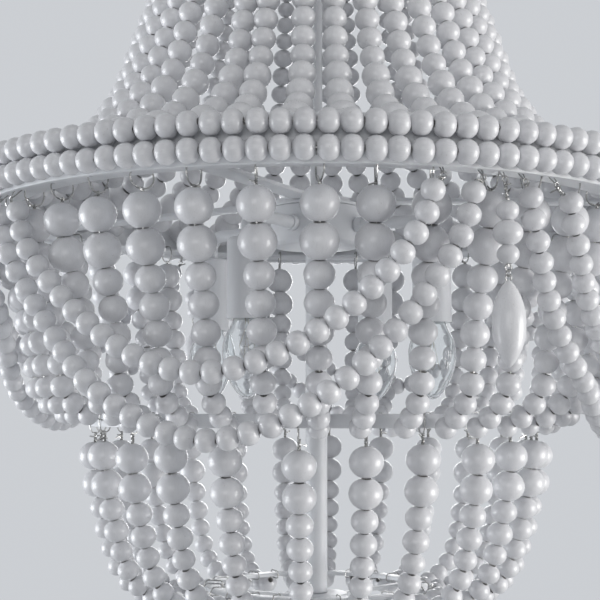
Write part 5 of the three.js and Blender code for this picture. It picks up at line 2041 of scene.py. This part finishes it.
@dataclass
class Studio:
    """The camera, floor, lamps and pale surroundings."""

    focal_share: float = 1310.0 / 600.0
    camera_place: Triple = (0.3368, -1.0366, -0.6348)
    camera_turn: float = 18.0
    camera_pitch: float = 4.966
    axis_offset_share: float = 16.35 / 600.0
    backdrop: Colour = (0.60, 0.62, 0.65)
    surrounding_light: float = 0.23
    floor_z: float = -1.5
    floor_half: float = 30.0
    fade_reach: Pair = (0.9, 3.2)
    near_share: float = 0.35
    lamp_aim: Triple = (0.0, 0.0, -0.58)
    lamp_spread: float = 110.0

    def build(self) -> None:
        """Sets up everything that isn't the chandelier."""
        self.make_camera()
        self.make_world()
        self.make_floor()
        self.make_lamps()
        bpy.context.scene.view_settings.view_transform = "Standard"

    def make_camera(self) -> None:
        """The photograph's camera, level with the curtain's foot and tipped up."""
        data = bpy.data.cameras.new("camera")
        data.sensor_width = 36.0
        data.lens = data.sensor_width * self.focal_share
        data.shift_x = -self.axis_offset_share
        camera = bpy.data.objects.new("camera", data)
        camera.location = self.camera_place
        turned, pitch = math.radians(self.camera_turn), math.radians(self.camera_pitch)
        level = math.cos(pitch)
        way = Vector((-math.sin(turned) * level, math.cos(turned) * level, math.sin(pitch)))
        camera.rotation_euler = way.to_track_quat("-Z", "Y").to_euler()
        bpy.context.scene.collection.objects.link(camera)
        bpy.context.scene.camera = camera

    def make_world(self) -> None:
        """Soft light from all round, with a plain pale colour behind the object."""
        world = bpy.data.worlds.new("studio")
        bpy.context.scene.world = world
        world.use_nodes = True
        nodes, links = world.node_tree.nodes, world.node_tree.links
        light, seen = nodes["Background"], nodes.new("ShaderNodeBackground")
        light.inputs["Color"].default_value = (0.95, 0.97, 1.0, 1.0)
        light.inputs["Strength"].default_value = self.surrounding_light
        seen.inputs["Color"].default_value = (*self.backdrop, 1.0)
        seen.inputs["Strength"].default_value = 1.0
        mix = nodes.new("ShaderNodeMixShader")
        links.new(seen_rays(nodes, links), mix.inputs[0])
        links.new(light.outputs[0], mix.inputs[1])
        links.new(seen.outputs[0], mix.inputs[2])
        links.new(mix.outputs[0], nodes["World Output"].inputs["Surface"])

    def make_floor(self) -> None:
        """A wide pale floor that takes the backdrop's colour far from the object."""
        mesh = bpy.data.meshes.new("floor")
        half = self.floor_half
        corners = [(-half, -half, 0), (half, -half, 0), (half, half, 0), (-half, half, 0)]
        mesh.from_pydata(corners, [], [(0, 1, 2, 3)])
        shader = Shader("floor", (0.55, 0.565, 0.585), 0.85)
        nodes, links = shader.nodes, shader.links
        far = nodes.new("ShaderNodeVectorMath")
        far.operation = "LENGTH"
        links.new(shader.place(), far.inputs[0])
        fade = shader.spread(far.outputs["Value"], *self.fade_reach, self.near_share, 1.0)
        both = nodes.new("ShaderNodeMath")
        both.operation = "MULTIPLY"
        links.new(fade, both.inputs[0])
        links.new(seen_rays(nodes, links), both.inputs[1])
        plain = nodes.new("ShaderNodeEmission")
        plain.inputs["Color"].default_value = (*self.backdrop, 1.0)
        mix = nodes.new("ShaderNodeMixShader")
        links.new(both.outputs[0], mix.inputs[0])
        links.new(shader.surface.outputs[0], mix.inputs[1])
        links.new(plain.outputs[0], mix.inputs[2])
        links.new(mix.outputs[0], nodes["Material Output"].inputs["Surface"])
        floor = bpy.data.objects.new("floor", mesh)
        mesh.materials.append(shader.material)
        floor.location = (0, 0, self.floor_z)
        bpy.context.scene.collection.objects.link(floor)

    def make_lamps(self) -> None:
        """A warm softbox to the right, a cool one to the left, and weak ones in front, above and behind."""
        self.lamp("right_softbox", 76.0, -0.85, 1.9, (1.3, 1.0), 11.6, (1.0, 0.985, 0.965))
        self.lamp("left_softbox", -93.0, -0.85, 1.9, (1.5, 1.0), 11.4, (0.955, 0.975, 1.0))
        self.lamp("front_softbox", -8.0, -0.30, 2.2, (1.4, 0.8), 3.0, (1.0, 1.0, 1.0))
        self.lamp("top_softbox", 10.0, 1.2, 1.1, (1.2, 1.2), 2.0, (1.0, 1.0, 1.0))
        self.lamp("back_softbox", 175.0, -0.3, 2.2, (1.0, 1.0), 6.0, (1.0, 1.0, 1.0))

    def lamp(
        self,
        name: str,
        turned: float,
        z: float,
        distance: float,
        size: Pair,
        power: float,
        colour: Colour,
    ) -> None:
        """Adds a softbox that faces the object.

        Args:
            name: Its name.
            turned: Degrees round the rod from the camera's side, towards the right of the picture.
            z: Its height in metres.
            distance: How far it stands from the rod, in metres.
            size: Its width and height.
            power: Watts.
            colour: The light's colour.
        """
        data = bpy.data.lights.new(name, "AREA")
        data.shape, data.size, data.size_y = "RECTANGLE", *size
        data.energy, data.color, data.spread = power, colour, math.radians(self.lamp_spread)
        lamp = bpy.data.objects.new(name, data)
        lamp.visible_transmission = False
        place = Vector(polar(distance, self.camera_turn + turned, z))
        lamp.location = place
        lamp.rotation_euler = (Vector(self.lamp_aim) - place).to_track_quat("-Z", "Y").to_euler()
        bpy.context.scene.collection.objects.link(lamp)


def seen_rays(nodes: bpy.types.Nodes, links: bpy.types.NodeLinks) -> Socket:
    """One for rays from the camera, off gloss or through glass, and zero for the rest.

    Args:
        nodes: The material's or world's nodes.
        links: Their links.

    Returns:
        The value.
    """
    path = nodes.new("ShaderNodeLightPath")
    total = path.outputs["Is Camera Ray"]
    for output in ("Is Glossy Ray", "Is Transmission Ray"):
        node = nodes.new("ShaderNodeMath")
        node.operation = "MAXIMUM"
        links.new(total, node.inputs[0])
        links.new(path.outputs[output], node.inputs[1])
        total = node.outputs[0]
    return total


def main() -> None:
    """Builds the studio and every sub-assembly in order."""
    logging.basicConfig(level=logging.INFO, format="%(message)s")
    Studio().build()
    paints = Paints.mixed()
    for assembly in (
        CeilingFixing,
        Chain,
        MetalFrame,
        CandleLights,
        BeadBand,
        CrownStrings,
        CurtainStrings,
        BasketStrings,
        Swags,
        PendantDrops,
    ):
        LOG.info("building %s", assembly.__name__)
        assembly(paints).build()


if __name__ == "__main__":
    main()
